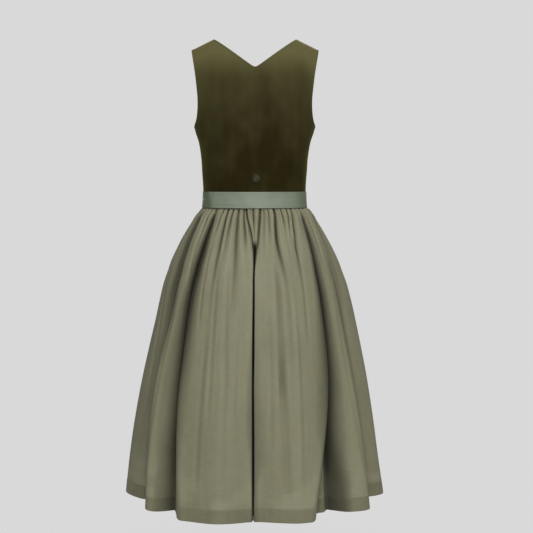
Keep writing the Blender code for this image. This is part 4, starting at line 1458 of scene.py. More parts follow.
@dataclass
class Skirt:
    """Full skirt of four panels, gathered into the waist seam, with a turned-up hem."""

    seam_gap: float = 0.0003
    wall: float = 0.0020
    single_share: float = 0.55  # of the wall where the cloth isn't doubled by the hem
    hem_depth: float = 0.0330
    hem_step: float = 0.0004
    waist_seam_z: float = -0.3970
    waist_half_width: float = 0.1310
    waist_depths: tuple[float, float] = (0.0985, 0.0965)
    hem_half_width: float = 0.3358
    hem_depths: tuple[float, float] = (0.2760, 0.2500)
    hem_drop: float = 0.7670
    squareness: float = 0.10
    covered_share: float = 0.0230
    stations: tuple[float, ...] = (0.0, 0.22, 0.55, 1.0)
    columns_in_gather: int = 15
    fine_steps: int = 900
    slit_start: float = 0.150
    slit_closed: float = 0.212
    slit_depth: float = 0.075
    slit_half_angle: float = 0.72
    hem_lift: float = 0.0085  # at the sides, where the hem hangs a little higher
    gather_gain: float = 1.45
    crease_gain: float = 1.15
    round_part: float = 0.30  # of a gather's form, the rest being narrow
    ends_fade: float = 0.25  # share of a small crease over which it rises and sinks
    slit_shade: float = 1.45
    settled_share: float = 0.65  # how far a dark fold quiets the shading of the cloth beside it
    # the most painted shade anywhere, and the painted shade inside the seam allowances
    hollow_limit: float = 1.35
    allowance_painted_shade: float = 1.2
    sample: float = 0.001  # spacing at which a row's depth is smoothed
    across_scale: float = 0.30  # metres of cloth to a radian, for noise and weave
    thread_lift: float = 0.0001
    hem_seam_above: float = 0.0012  # from the hem's top edge to its row of stitches
    gathers: tuple[Gather, ...] = GATHERS
    troughs: tuple[Trough, ...] = TROUGHS
    creases: tuple[Crease, ...] = CREASES
    # where the seam draws the cloth in most: middle and half width in degrees
    held_in: Table = (
        (41.0, 20.0), (338.0, 10.0), (128.0, 12.0), (205.0, 15.0), (250.0, 9.0),
    )
    hem_lines: list[SeamLine] = field(default_factory=list)

    def row_shares(self) -> Array:
        """Shares of the way down at which the mesh has a row.

        Returns:
            The shares, most of them close under the band and round the hem's step.
        """
        top = 1.0 - self.hem_depth / self.hem_drop
        near_step = top + np.array((-0.0045, -0.0030, -0.0018, -0.0010, -0.0004, 0.0004, 0.0010, 0.0022))
        spans = (
            (0.0, 0.018, 4), (0.0205, 0.060, 23), (0.060, 0.160, 30), (0.160, 0.420, 30),
            (0.420, top - 0.012, 30), (top + 0.006, 0.994, 6),
        )
        near_edge = (0.9965, 0.9985, 0.9995, 1.0)
        return np.unique(np.concatenate([*(np.linspace(*span) for span in spans), near_step, near_edge]))

    def outline(self) -> tuple[Array, Array, Array, Array]:
        """The side outline, evenly spaced by cloth length.

        Returns:
            Share of the way down, half widths on the left and right, and drop.
        """
        rows = np.array(SKIRT_OUTLINE)
        drop = np.linspace(0.0, self.hem_drop, 4 * self.fine_steps)
        left = curve_through(list(zip(rows[:, 0], rows[:, 1])), drop)
        right = curve_through(list(zip(rows[:, 0], rows[:, 2])), drop)
        along = np.concatenate([[0.0], np.cumsum(np.hypot(np.diff(drop), np.diff(left + right) / 2))])
        share = np.linspace(0.0, 1.0, self.fine_steps + 1)
        left, right, drop = (np.interp(share, along / along[-1], values) for values in (left, right, drop))
        return share, left, right, drop

    def fold_angle(self, fold: Gather | Trough, share: Array) -> Array:
        """Angle of a fold.

        Args:
            fold: The fold.
            share: Shares of the way down.

        Returns:
            Its angle in degrees at each.
        """
        angles = (fold.band, fold.upper, fold.middle, fold.hem)
        swing = fold.bend * bell((share - 0.34) / 0.22)
        if isinstance(fold, Gather):
            swing = swing + fold.pull * bell((share - 0.15) / 0.13)
        return curve_through(list(zip(self.stations, angles)), share) + swing

    def turned_from(self, angle: Array, fold: Gather | Trough, share: Array) -> Array:
        """Signed angle from a fold to a place, in degrees."""
        return signed_turn(angle - self.fold_angle(fold, share))

    def gather_depth(self, share: Array, place: float, gap: Array, left: Gather, right: Gather) -> Array:
        """Depth of the two gathers beside a column.

        Args:
            share: Shares of the way down.
            place: The column's place between the two, from 0 to 1.
            gap: Distance between the two in metres.
            left: The gather before the column.
            right: The gather after it.

        Returns:
            The depth at each share.
        """
        emerging = 0.55 + 0.45 * smooth((share - self.covered_share + 0.004) / 0.010)
        depth = np.zeros_like(share)
        for fold, near in ((left, place), (right, 1.0 - place)):
            round_wave = math.cos(math.pi * min(near, 0.5)) ** 2
            narrow = cusp(near * gap / (fold.width * (0.0052 + 0.030 * share)))
            profile = self.round_part * round_wave + (1.0 - self.round_part) * narrow
            reach = max(fold.fade, 0.10) * 1.15
            fading = 1.0 - smooth((share - 0.045) / reach)
            depth += self.gather_gain * fold.depth * profile * emerging * fading
        return depth

    def fold_depth(self, angle: Array, share: Array) -> Array:
        """How far the cloth lies inside the envelope because of creases, troughs and the back slit.

        Args:
            angle: A column's angles in degrees.
            share: Its shares of the way down.

        Returns:
            The depth at each.
        """
        depth = np.zeros_like(angle)
        for fold in self.gathers:
            if fold.crease:
                half = fold.width * (3.4 + 2.6 * share)
                away = self.turned_from(angle, fold, share) / half
                profile = 0.55 * bell(away) + 0.45 * cusp(away)
                depth += self.crease_gain * fold.crease * smooth((share - 0.03) / 0.45) * profile
        for trough in self.troughs:
            away = self.turned_from(angle, trough, share)
            on_left = trough.hem < 180.0
            low, high = trough.toward_back, trough.toward_front
            half = np.where(away < 0, low if on_left else high, high if on_left else low)
            depth += trough.depth * smooth(share / 1.05) ** trough.swell * bell(away / half)
        for crease in self.creases:
            along = np.clip((share - crease.start) / (crease.end - crease.start), 0.0, 1.0)
            middle = crease.upper + (crease.lower - crease.upper) * along
            ends = smooth(along / self.ends_fade) * smooth((1.0 - along) / self.ends_fade)
            depth += crease.depth * ends * bell(signed_turn(angle - middle) / crease.half_width)
        return depth + self.slit(angle, share)

    def slit(self, angle: Array, share: Array) -> Array:
        """Depth of the inverted fold at the centre back, whose two sides nearly touch.

        Args:
            angle: A column's angles in degrees.
            share: Its shares of the way down.

        Returns:
            The depth at each.
        """
        away = self.turned_from(angle, self.gathers[0], share)
        opening = smooth((share - self.slit_start) / (self.slit_closed - self.slit_start))
        half = self.slit_half_angle * (1.0 + 1.6 * (1.0 - opening))
        closing = 1.0 - 0.80 * smooth((share - 0.84) / 0.14)
        return self.slit_depth * opening * closing * (0.35 + 0.65 * smooth(share / 0.6)) * bell(away / half)

    def tuck(self, angle: Array, share: Array) -> Array:
        """How far the cloth is drawn in right under the band, where the seam holds it.

        Args:
            angle: A column's angles in degrees.
            share: Its shares of the way down.

        Returns:
            The distance at each.
        """
        below = (share - self.covered_share) / 0.0080
        around = 0.0004 + 0.0008 * np.abs(np.sin(np.radians(angle * 1.5 + 8.0)))
        for middle, half in self.held_in:
            away = np.abs(signed_turn(angle - middle))
            around = around + 0.0026 * (1.0 - smooth((away - half) / 4.0))
        return around * (1.0 - smooth(below))

    def column(
        self, left: Gather, right: Gather, place: float, edge_shift: float = 0.0
    ) -> tuple[Array, Array, Array]:
        """Outer points of one column, from the waist seam to the hem.

        Args:
            left: The gather before the column.
            right: The gather after it.
            place: Its place between the two, from 0 to 1.
            edge_shift: How far it is moved along the cloth, away from a seam.

        Returns:
            The points at the row shares, their angles in degrees and their depth in the folds.
        """
        fine, half_left, half_right, drop = OUTLINE
        share = self.row_shares()
        half_left, half_right, drop = (np.interp(share, fine, side) for side in (half_left, half_right, drop))
        start, end = self.fold_angle(left, share), self.fold_angle(right, share)
        end = np.where(end < start, end + 360.0, end)
        angle = start + (end - start) * place
        turn = np.radians(angle)
        width = np.where(np.sin(turn) > 0, half_left, half_right)
        growth = (width - self.waist_half_width) / (self.hem_half_width - self.waist_half_width)
        back, front = (waist + (hem - waist) * growth for waist, hem in zip(self.waist_depths, self.hem_depths))
        square = 1.0 + self.squareness * (1.0 - smooth(4.0 * growth)) * np.sin(turn) ** 2
        deep = np.where(np.cos(turn) > 0, back, front) * square
        envelope = np.stack([width * np.sin(turn), deep * np.cos(turn)], axis=1)
        outward = np.stack([np.sin(turn) / width, np.cos(turn) / deep], axis=1)
        outward /= np.linalg.norm(outward, axis=1, keepdims=True)
        along = np.stack([outward[:, 1], -outward[:, 0]], axis=1)
        gap = np.radians(end - start) * np.hypot(*envelope.T)
        depth = self.gather_depth(share, place, gap, left, right) + self.fold_depth(angle, share)
        inward = depth + self.tuck(angle, share)
        plan = envelope - outward * inward[:, None] + along * edge_shift
        raised = smooth((angle - 46.0) / 12.0) * (1.0 - smooth((angle - 104.0) / 22.0))
        raised = raised + smooth((angle - 236.0) / 22.0) * (1.0 - smooth((angle - 284.0) / 8.0))
        drop = drop - self.hem_lift * raised * smooth((share - 0.45) / 0.55)
        return np.column_stack([plan, self.waist_seam_z - self.seam_gap / 2 - drop]), angle, depth

    def panel(self, first: str, last: str) -> tuple[Array, Array, Array]:
        """Smooth outer points of the panel between two gathers.

        Args:
            first: Name of the gather at its first seam.
            last: Name of the gather at its last seam.

        Returns:
            The points, rows from the hem up, their angles and their depths.
        """
        count = len(self.gathers)
        names = [fold.name for fold in self.gathers]
        begin, stop = names.index(first), names.index(last)
        stop += count if stop <= begin else 0
        inset = self.seam_gap / 2
        steps = np.linspace(0.0, 1.0, self.columns_in_gather + 1)[:-1]
        places = 0.5 * steps + 0.5 * (0.5 - 0.5 * np.cos(math.pi * steps))
        made = []
        for i in range(begin, stop):
            left, right = self.gathers[i % count], self.gathers[(i + 1) % count]
            for place in places:
                shift = inset if i == begin and place == 0.0 else 0.0
                made.append(self.column(left, right, float(place), shift))
        made.append(self.column(self.gathers[(stop - 1) % count], self.gathers[stop % count], 1.0, -inset))
        points = np.array([column[0] for column in made]).transpose(1, 0, 2)[::-1]
        angles, depths = (np.array([column[i] for column in made]).T[::-1] for i in (1, 2))
        return points, angles, depths

    def hollows(self, grid: Array, angle: Array, depth: Array) -> Array:
        """Painted shade at each point: how far it lies in a fold beside the cloth next to it, with more painted
        shade along the darker folds and at the slit's top, and painted highlight on the ridges.

        Args:
            grid: A panel's smooth points.
            angle: Their angles in degrees.
            depth: Their depths in the folds.

        Returns:
            Painted shade, 1 deep in a fold and more in a shaded one, and below 0, as painted highlight, on a
            ridge.
        """
        # painted shade where the cloth lies deeper than the cloth beside it, painted highlight where it lies
        # shallower
        made = np.zeros_like(depth)
        shares = self.row_shares()[::-1]
        for row, share in enumerate(shares):
            along = run_lengths(grid[row : row + 1], 1)[0]
            even = np.arange(0.0, along[-1], self.sample)
            for narrowest, widening, strength in ((0.0065, 0.018, 0.75), (0.013, 0.050, 0.55)):
                reach = narrowest + widening * float(share)
                count = int(2.0 * reach / self.sample)
                kernel = np.exp(-0.5 * (np.arange(-count, count + 1) * self.sample / reach) ** 2)
                beside = np.pad(np.interp(even, along, depth[row]), count, mode="reflect")
                usual = np.interp(along, even, np.convolve(beside, kernel / kernel.sum(), mode="valid"))
                made[row] += strength * (depth[row] - usual) / (0.5 * reach)
        share = np.broadcast_to(shares[:, None], angle.shape)
        away_from_axis = np.hypot(grid[..., 0], grid[..., 1])
        # more painted shade along the folds given a dark value, which also quiets the painted shade beside them
        dark, settled = np.zeros_like(made), np.zeros_like(made)
        emerged = smooth((share - self.covered_share) / 0.05)
        for fold in self.gathers:
            if fold.dark:
                lean = math.sin(math.radians(2.0 * fold.hem))
                turned = self.turned_from(angle, fold, share) + lean * (2.0 + share)
                turned = turned - fold.dark_turn * (1.0 - smooth((share - 0.25) / 0.30))
                turned = turned - fold.dark_turn_at_hem * smooth((share - 0.68) / 0.24)
                away = np.radians(turned) * away_from_axis * math.copysign(1.0, lean)
                far_reach = np.minimum(0.006 + 0.103 * share, 0.070 - 0.036 * smooth((share - 0.70) / 0.20))
                near_reach = (0.010 + 0.125 * share) * (1.0 - 0.72 * smooth((share - 0.80) / 0.10))
                reach = np.where(away < 0, near_reach, far_reach)
                first, last = fold.dark_fades
                strength = 1.0 - (1.0 - fold.dark_at_hem) * smooth((share - first) / (last - first))
                dark += fold.dark * strength * emerged * bell(away / (fold.dark_reach * reach))
                beside_it = bell(np.radians(turned) * away_from_axis / 0.110)
                settled = np.maximum(settled, min(fold.dark, 1.0) * beside_it * smooth((share - 0.35) / 0.35))
        # painted shade at the top of the centre back slit, where it opens
        away = np.radians(self.turned_from(angle, self.gathers[0], share)) * away_from_axis
        narrowing = np.clip(0.0095 - 0.075 * (share - 0.150), 0.0030, 0.0095)
        above_slit = smooth((share - 0.135) / 0.035) * (1.0 - smooth((share - 0.210) / 0.060))
        dark += self.slit_shade * above_slit * bell(away / narrowing)
        # painted highlight on the ridges, kept away from the darkest painted shade
        ridge = np.clip(made, -0.5, 0.0) * (1.0 - smooth((dark - 0.08) / 0.25))
        quiet = 1.0 - settled * self.settled_share
        return np.minimum(np.clip(made, 0.0, 1.0) * quiet + ridge + dark, self.hollow_limit)

    def relief(self, grid: Array, angle: Array, weave: Array) -> Array:
        """Height of the hem's step, the seams and the cloth's small unevenness.

        Args:
            grid: A panel's smooth points.
            angle: Their angles in degrees, running on past 360.
            weave: The cloth's coordinates there.

        Returns:
            The height at each point.
        """
        above_hem = weave[..., 1]
        share = 1.0 - above_hem / self.hem_drop
        doubled = 1.0 - smooth((above_hem - self.hem_depth) / 0.0016 + 0.5)
        height = self.hem_step * doubled
        height -= 0.0003 * bell((above_hem - self.hem_depth - self.hem_seam_above) / 0.0016)
        height -= 0.0005 * (1.0 - smooth(above_hem / 0.0012))
        first = run_lengths(grid, 1)
        last = run_lengths(grid[:, ::-1], 1)[:, ::-1]
        across = np.radians(angle) * self.across_scale
        long_waves = cloth_noise(across, above_hem, 0.034, 0.420, 11.0)
        short_waves = cloth_noise(across, above_hem, 0.012, 0.110, 23.0)
        near_band = 1.0 - smooth((share - 0.05) / 0.25)
        height += 0.0013 * long_waves * smooth(share / 0.3) + 0.0005 * short_waves * (0.4 + 0.9 * near_band)
        height *= smooth((share - self.covered_share * 0.5) / 0.02)
        return height * smooth(np.minimum(first, last) / 0.008)

    def seam_allowance(self, seam: Array, weave: Array) -> tuple[Array, Array]:
        """The narrow strip of cloth inside a seam, which also closes its gap to the light.

        Args:
            seam: The seam's points from the hem up.
            weave: The cloth's coordinates there.

        Returns:
            The strip's points and their coordinates.
        """
        held = (weave[:, 1] > 0.005) & (weave[:, 1] < self.hem_drop * 0.955)
        seam, weave = seam[held], weave[held]
        outward = seam[:, :2] / np.linalg.norm(seam[:, :2], axis=1, keepdims=True)
        outward = np.column_stack([outward, np.zeros(len(seam))])
        across = np.column_stack([outward[:, 1], -outward[:, 0], outward[:, 2]])
        half = 0.0020 + 0.0045 * smooth((1.0 - weave[:, 1:] / self.hem_drop) / 0.3)
        steps = (-1.0, -0.4, 0.0, 0.4, 1.0)
        points = np.stack([seam - outward * 0.0030 + across * half * step for step in steps], axis=1)
        return points, np.stack([weave + np.array([0.006, 0.0]) * step for step in steps], axis=1)

    def build(self, name: str, first: str, last: str, cloth: Material) -> Object:
        """Build one panel and note the line at the top of its hem.

        Args:
            name: Name of the piece.
            first: Gather at its first seam.
            last: Gather at its last seam.
            cloth: Its finish.

        Returns:
            The panel.
        """
        grid, angle, depth = self.panel(first, last)
        above_hem = grid[..., 2] - grid[:1, :, 2]
        hem_run = run_lengths(grid[:1], 1)[0]
        hem_run = hem_run + np.radians(angle[0, 0]) * self.across_scale
        weave = np.stack([np.broadcast_to(hem_run, above_hem.shape), above_hem], axis=-1)
        unwrapped = np.degrees(np.unwrap(np.radians(angle), axis=1))
        grid = lifted(grid, self.relief(grid, unwrapped, weave))
        allowance, allowance_weave = self.seam_allowance(grid[:, -1], weave[:, -1])
        mesh = grid_mesh(name, (grid, weave), (allowance, allowance_weave))
        # painted shade in the folds and painted highlight on the ridges; the seam allowances inside are all in
        # painted shade
        hollow = self.hollows(grid, angle, depth)
        inside = np.full(allowance[..., 0].size, self.allowance_painted_shade)
        add_attribute(mesh, PAINTED_SHADING, np.concatenate([hollow.ravel(), inside]))
        obj = link(bpy.data.objects.new(name, mesh))
        doubled = np.nonzero((weave[..., 1] < self.hem_depth).ravel())[0]
        thicken(obj, self.wall, doubled, self.single_share)
        row = int(np.argmin(np.abs(above_hem[:, 0] - self.hem_depth - self.hem_seam_above)))
        normals = grid_normals(grid)[row]
        self.hem_lines.append(SeamLine(grid[row] + normals * self.thread_lift, normals))
        return dress(obj, Slot.SKIRT_CLOTH, cloth, cloth)


OUTLINE = Skirt().outline()


# ------------------------------------------------------------------ waistband


@dataclass
class Waistband:
    """Flat ribbon round the waist seam, its ends meeting at the centre front."""

    wall: float = 0.0012
    half_width: float = 0.1310
    back_depth: float = 0.0985
    front_depth: float = 0.0965
    squareness: float = 0.10
    bottom: float = -0.4152
    top: float = -0.3750
    flare_low: float = 0.0043
    flare_high: float = 0.0020
    selvedge: float = 0.0011
    selvedge_rise: float = 0.00025
    ripple: float = 0.0004
    girth: float = 0.76
    end_gap: float = 0.0003 / 0.0965  # the gap between its ends, as a turn at the front's depth
    bend: float = math.radians(54.0)  # where it turns round the wearer's left side, at its lower edge
    bend_slant: float = math.radians(-7.0)
    bend_depth: float = 0.0012
    around: int = 420
    rows: int = 26
    edge_stitch: float = 0.0022
    stitch_lift: float = 0.0001

    def build(self, ribbon: Material) -> Object:
        """Bend a flat grid into the ribbon.

        Args:
            ribbon: Its finish.

        Returns:
            The ribbon.
        """
        elsewhere = ("wall", "around", "rows", "edge_stitch", "stitch_lift")
        names = [size.name for size in fields(self) if size.name not in elsewhere]
        sizes = {name.replace("_", " ").title(): name for name in names}
        inputs = {**dict.fromkeys(sizes, "Float"), "Around": "Int", "Rows": "Int"}
        b, given, result = geometry_tree("ribbon_round_the_waist", inputs)
        counts = {"Vertices X": given["Around"], "Vertices Y": given["Rows"]}
        flat = b.value("GeometryNodeMeshGrid", {"Size X": 1.0, "Size Y": 1.0, **counts})
        across, upwards, _ = b.value("GeometryNodeInputPosition").parts()
        up = upwards + 0.5
        turn = across * -2.0 * (math.pi - given["End Gap"])
        sine, cosine = turn.math("SINE"), turn.math("COSINE")
        width = given["Top"] - given["Bottom"]
        height = up * width
        rim = (1.0 - height.math("MINIMUM", width - height) / given["Selvedge"]).clamped()
        low = (1.0 - up).math("POWER", 1.8)
        flare = given["Flare High"] + low * (given["Flare Low"] - given["Flare High"])
        flare = flare + rim * given["Selvedge Rise"]
        wave = (turn * 7.0 + up * 1.4).math("SINE") + (turn * 17.0 + up * -2.2).math("SINE")
        flare = flare + wave * ((up * math.pi).math("SINE") * given["Ripple"])
        bend = turn - (up * given["Bend Slant"] + given["Bend"])
        flare = flare - bend.ramp(0.0, 0.085) * bend.ramp(0.30, 0.85, 1.0, 0.0) * given["Bend Depth"]
        on_back = cosine.math("GREATER_THAN", 0.0)
        deep = on_back * (given["Back Depth"] - given["Front Depth"]) + given["Front Depth"] + flare
        fuller = given["Squareness"] * (sine * sine) + 1.0
        point = b.vector((given["Half Width"] + flare) * sine, deep * fuller * cosine, given["Bottom"] + height)
        weave = {"Geometry": flat, "Name": WEAVE_UV, "Value": b.vector((across + 0.5) * given["Girth"], height)}
        kept = b.value("GeometryNodeStoreNamedAttribute", weave, data_type="FLOAT2", domain="CORNER")
        bent = b.value("GeometryNodeSetPosition", {"Geometry": kept, "Position": point})
        smoothed = b.value("GeometryNodeSetShadeSmooth", {"Geometry": bent})
        tree = finish_tree(b, given["Material"], result, smoothed)
        values = {label: getattr(self, name) for label, name in sizes.items()}
        values.update({"Around": self.around, "Rows": self.rows, "Material": ribbon})
        obj = grown("ribbon_waistband", bpy.data.meshes.new("ribbon"), tree, values)
        thicken(obj, self.wall)
        obj.modifiers["wall"].material_offset = 0
        return dress(obj, Slot.RIBBON)

    def edge_lines(self) -> list[SeamLine]:
        """Where the ribbon's two edges are sewn down, on its outer side.

        Returns:
            A line for each edge.
        """
        turn = np.radians(np.linspace(-179.0, 179.0, 720))
        lines = []
        for z in (self.bottom + self.edge_stitch, self.top - self.edge_stitch):
            up = (z - self.bottom) / (self.top - self.bottom)
            flare = self.flare_high + (self.flare_low - self.flare_high) * (1.0 - up) ** 1.8
            wave = np.sin(7.0 * turn + 1.4 * up) + np.sin(17.0 * turn - 2.2 * up)
            flare = flare + wave * math.sin(math.pi * up) * self.ripple + self.stitch_lift
            deep = np.where(np.cos(turn) > 0, self.back_depth, self.front_depth) + flare
            deep = deep * (1.0 + self.squareness * np.sin(turn) ** 2)
            width = self.half_width + flare
            points = np.stack([width * np.sin(turn), deep * np.cos(turn), np.full_like(turn, z)], axis=1)
            outward = np.stack([np.sin(turn) / width, np.cos(turn) / deep, np.zeros_like(turn)], axis=1)
            lines.append(SeamLine(points, outward / np.linalg.norm(outward, axis=1, keepdims=True)))
        return lines


# ------------------------------------------------------------------ button


@dataclass
class BackButton:
    """Round dished button on the centre back, with a rounded rim and a fine groove inside it."""

    radius: float = 0.0110
    thickness: float = 0.0034
    steps: int = 72
    rim_share: float = 0.80
    groove_share: float = 0.70
    arc_steps: int = 10
    clearance: float = 0.00005

    def profile(self) -> Array:
        """Radius and height of the turned outline, from the front's centre round to the back's centre.

        Returns:
            Its points.
        """
        rim_middle, rim_half = (1.0 + self.rim_share) / 2, (1.0 - self.rim_share) / 2
        dish = [(self.groove_share * f, 0.50 + 0.16 * (1.0 - f**2)) for f in np.linspace(0.0, 1.0, 12)]
        groove = [(self.groove_share + 0.03, 0.40), (self.groove_share + 0.07, 0.46)]
        arc = np.linspace(math.pi * 0.92, -math.pi * 0.06, self.arc_steps)
        rim = [(rim_middle + rim_half * math.cos(a), 0.62 + 0.38 * math.sin(a)) for a in arc]
        back = [(share, self.clearance / self.thickness) for share in (0.90, 0.0)]
        return np.array([*dish, *groove, *rim, (0.97, 0.25), *back]) * (self.radius, self.thickness)

    def build(self, seat: Vector, tilt: float, horn: Material) -> Object:
        """Turn the button and set it on the velvet.

        Args:
            seat: Middle of its back.
            tilt: How far its face looks up, in radians.
            horn: Its finish.

        Returns:
            The button.
        """
        profile = self.profile()
        turns = np.linspace(0.0, 2 * math.pi, self.steps, endpoint=False)
        points = [(r * math.cos(turn), r * math.sin(turn), h) for r, h in profile[1:-1] for turn in turns]
        front, back = len(points), len(points) + 1
        points += [(0.0, 0.0, profile[0][1]), (0.0, 0.0, profile[-1][1])]
        last = (len(profile) - 3) * self.steps
        faces = []
        for i in range(self.steps):
            j = (i + 1) % self.steps
            faces += [(front, i, j), (back, last + j, last + i)]
            for at in range(0, last, self.steps):
                faces.append((at + i, at + self.steps + i, at + self.steps + j, at + j))
        x, y, z = np.array(points).T
        sine, cosine = math.sin(math.pi / 2 + tilt), math.cos(math.pi / 2 + tilt)
        # its face turns from +Z to +Y, then looks up by the tilt
        placed = np.stack([seat.x - x, seat.y + z * sine - y * cosine, seat.z + y * sine - z * cosine], axis=1)
        mesh = bpy.data.meshes.new("button")
        mesh.from_pydata(placed.tolist(), [], faces)
        mesh.shade_smooth()
        return dress(link(bpy.data.objects.new("horn_button", mesh)), Slot.BUTTON, horn)


# ------------------------------------------------------------------ studio


@dataclass
class Studio:
    """Camera, soft lights, a pale floor and an even backdrop."""

    focal_pixels: float = 1128.0
    frame_pixels: float = 533.0
    sensor: float = 36.0
    camera_place: tuple[float, float, float] = (0.0, 2.9, -0.3453)
    pitch_pixels: float = 86.5
    yaw_pixels: float = 12.0
    floor_z: float = -1.42
    floor_radius: float = 9.0
    floor_sides: int = 96
    floor_colour: Colour = (0.66, 0.66, 0.66, 1.0)
    backdrop: Colour = (0.694, 0.694, 0.694, 1.0)
    world_strength: float = 0.30
    chest_z: float = -0.35
    hips_z: float = -0.75

    def camera(self) -> None:
        """The camera, a little above the hips and looking slightly down."""
        data = bpy.data.cameras.new("camera")
        data.sensor_width = self.sensor
        data.lens = self.sensor * self.focal_pixels / self.frame_pixels
        data.clip_end = 60.0
        obj = link(bpy.data.objects.new("camera", data))
        pitch, yaw = (math.atan2(pixels, self.focal_pixels) for pixels in (self.pitch_pixels, self.yaw_pixels))
        obj.location = self.camera_place
        obj.rotation_euler = (math.pi / 2 - pitch, 0.0, math.pi - yaw)
        bpy.context.scene.camera = obj

    def lights(self) -> None:
        """A large key over the camera, a low fill, a soft top light and a pair for the front."""
        rows = (
            ("key", (-0.30, 2.6, 1.15), self.chest_z, (2.0, 1.1), 56.0),
            ("skirt_fill", (-0.05, 3.0, -0.60), self.hips_z, (1.6, 0.9), 20.0),
            ("top", (0.0, 0.35, 1.6), self.chest_z, (1.2, 0.9), 13.0),
            ("front_key", (-0.6, -2.5, 1.2), self.chest_z, (1.6, 1.0), 44.0),
            ("front_fill", (0.3, -3.0, -0.6), self.hips_z, (1.2, 0.8), 16.0),
        )
        for name, place, target_z, (width, height), power in rows:
            data = bpy.data.lights.new(name, "AREA")
            data.shape = "RECTANGLE"
            data.size, data.size_y, data.energy = width, height, power
            obj = link(bpy.data.objects.new(name, data))
            obj.location = place
            towards = Vector((0.0, 0.0, target_z)) - Vector(place)
            obj.rotation_euler = towards.to_track_quat("-Z", "Y").to_euler()

    def world(self) -> None:
        """Even surroundings: the backdrop's grey as seen, and a little dimmer as light."""
        world = bpy.data.worlds.new("studio")
        bpy.context.scene.world = world
        world.use_nodes = True
        b = NodeBuilder(world.node_tree)
        strength = self.seen(b) * (1.0 - self.world_strength) + self.world_strength
        b.fill(world.node_tree.nodes["Background"], {"Color": self.backdrop, "Strength": strength})

    def seen(self, b: NodeBuilder) -> Value:
        """Whether the camera looks straight at it."""
        return Value(b, b.node("ShaderNodeLightPath").outputs["Is Camera Ray"])

    def floor(self) -> None:
        """A pale floor that fades into the backdrop away from the dress."""
        turns = np.arange(self.floor_sides) * (2 * math.pi / self.floor_sides)
        ring = [(self.floor_radius * math.cos(a), self.floor_radius * math.sin(a), self.floor_z) for a in turns]
        mesh = bpy.data.meshes.new("floor")
        mesh.from_pydata(ring, [], [tuple(range(self.floor_sides))])
        material, b, shader = new_material("pale_floor")
        grain = b.bump(b.place().noise(180.0, 3.0), 0.05, 0.001)
        b.fill(shader, {"Base Color": self.floor_colour, "Roughness": 0.9, "Normal": grain})
        even = b.value("ShaderNodeEmission", {"Color": self.backdrop})
        flat = b.place().stretched(1.0, 1.0, 0.0)
        from_middle = b.node("ShaderNodeVectorMath", {0: flat}, operation="LENGTH")
        faded = Value(b, from_middle.outputs["Value"]).ramp(0.20, 0.80, 0.86, 1.0) * self.seen(b)
        blend = b.value("ShaderNodeMixShader", {0: faded, 1: Value(b, shader.outputs[0]), 2: even})
        b.fill(material.node_tree.nodes["Material Output"], {"Surface": blend})
        mesh.materials.append(material)
        obj = link(bpy.data.objects.new("floor", mesh))

    def build(self) -> None:
        """Set up the whole studio."""
        bpy.context.scene.view_settings.view_transform = "Standard"
        self.camera()
        self.lights()
        self.world()
        self.floor()


# ------------------------------------------------------------------ the dress


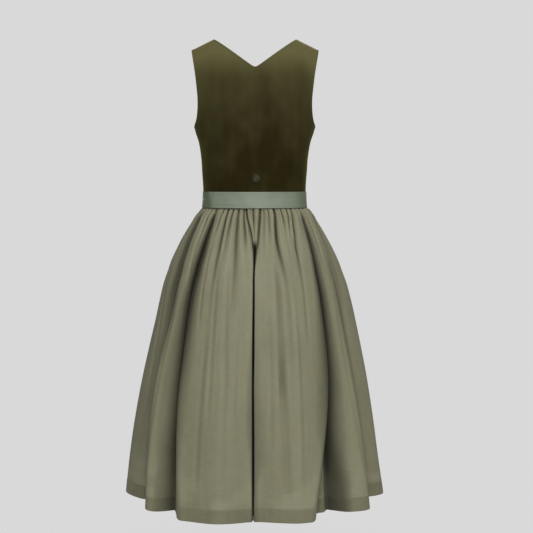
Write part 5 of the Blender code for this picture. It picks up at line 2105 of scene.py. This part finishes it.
class DirndlDress:
    """Builds every piece of the dress in order."""

    # side: the node it replaces, its flat size and its flat area
    bodice_cut = {
        Side.BACK: ("bodice_back", (0.420, 0.450), 0.140),
        Side.FRONT_LEFT: ("bodice_front_left", (0.222, 0.450), 0.062),
        Side.FRONT_RIGHT: ("bodice_front_right", (0.222, 0.450), 0.062),
    }
    # node: the gathers at its two seams, and its width along the hem
    skirt_cut = {
        "skirt_back_left": ("centre_back", "side_l", 0.65),
        "skirt_front_left": ("side_l", "centre_front", 0.50),
        "skirt_front_right": ("centre_front", "side_r", 0.495),
        "skirt_back_right": ("side_r", "centre_back", 0.655),
    }
    seat_gap = 0.0006  # between the button and the velvet

    def build_bodice(self) -> Bodice:
        """The three velvet panels and the stitches along their turned edges.

        Returns:
            The bodice, which the button is seated on.
        """
        bodice, velvet, inside = Bodice(), VelvetFinish().build(), VelvetBackFinish().build()
        thread = ThreadFinish("dark_thread", (0.040, 0.036, 0.018, 1.0)).build()
        sewing = Stitching(pitch=0.0028, thread=0.0005, seed=5)
        for side, (node, flat, area) in self.bodice_cut.items():
            panel = bodice.build(side, velvet, inside)
            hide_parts(node)
            stitches = sewing.lay(f"edge_stitches_{side.value}", bodice.edges[side.value], Slot.VELVET, thread)
        return bodice

    def build_skirt(self) -> None:
        """The four gathered panels and the row of stitches over their hems."""
        skirt, cloth = Skirt(), SkirtClothFinish().build()
        thread = ThreadFinish("olive_thread", (0.230, 0.220, 0.150, 1.0)).build()
        sewing = Stitching(pitch=0.0046, thread=0.00045, share=0.35, seed=9)
        for node, (first, last, hem_width) in self.skirt_cut.items():
            panel = skirt.build(f"gathered_{node}", first, last, cloth)
            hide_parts(node)
            stitches = sewing.lay(f"hem_stitches_{node}", skirt.hem_lines[-1:], Slot.SKIRT_CLOTH, thread)

    def build_waistband(self) -> None:
        """The ribbon and the stitches along both its edges."""
        waistband = Waistband()
        band = waistband.build(RibbonFinish().build())
        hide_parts("waistband")
        thread = ThreadFinish("sage_thread", (0.250, 0.290, 0.215, 1.0)).build()
        sewing = Stitching(pitch=0.0026, thread=0.0004, seed=7)
        stitches = sewing.lay("band_stitches", waistband.edge_lines(), Slot.RIBBON, thread)

    def build_button(self, bodice: Bodice) -> None:
        """The button, seated on the velvet where its node is.

        Args:
            bodice: What it is seated on.
        """
        low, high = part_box("back_button")
        middle, radius = (low + high) / 2, BackButton.radius
        heights = np.array([middle.z + radius, middle.z - radius])
        upper, lower = bodice.depth_at(np.full(2, middle.x), heights, front=False)
        seat = Vector((middle.x, (upper + lower) / 2 + self.seat_gap, middle.z))
        tilt = math.atan2(upper - lower, 2 * radius)
        button = BackButton().build(seat, tilt, HornFinish().build())
        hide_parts("back_button")

    def build(self) -> None:
        """Build the whole dress."""
        bodice = self.build_bodice()
        self.build_skirt()
        self.build_waistband()
        self.build_button(bodice)


def main() -> None:
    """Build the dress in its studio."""
    logging.basicConfig(level=logging.INFO, format="%(name)s %(message)s")
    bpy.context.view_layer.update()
    Studio().build()
    DirndlDress().build()


if __name__ == "__main__":
    main()
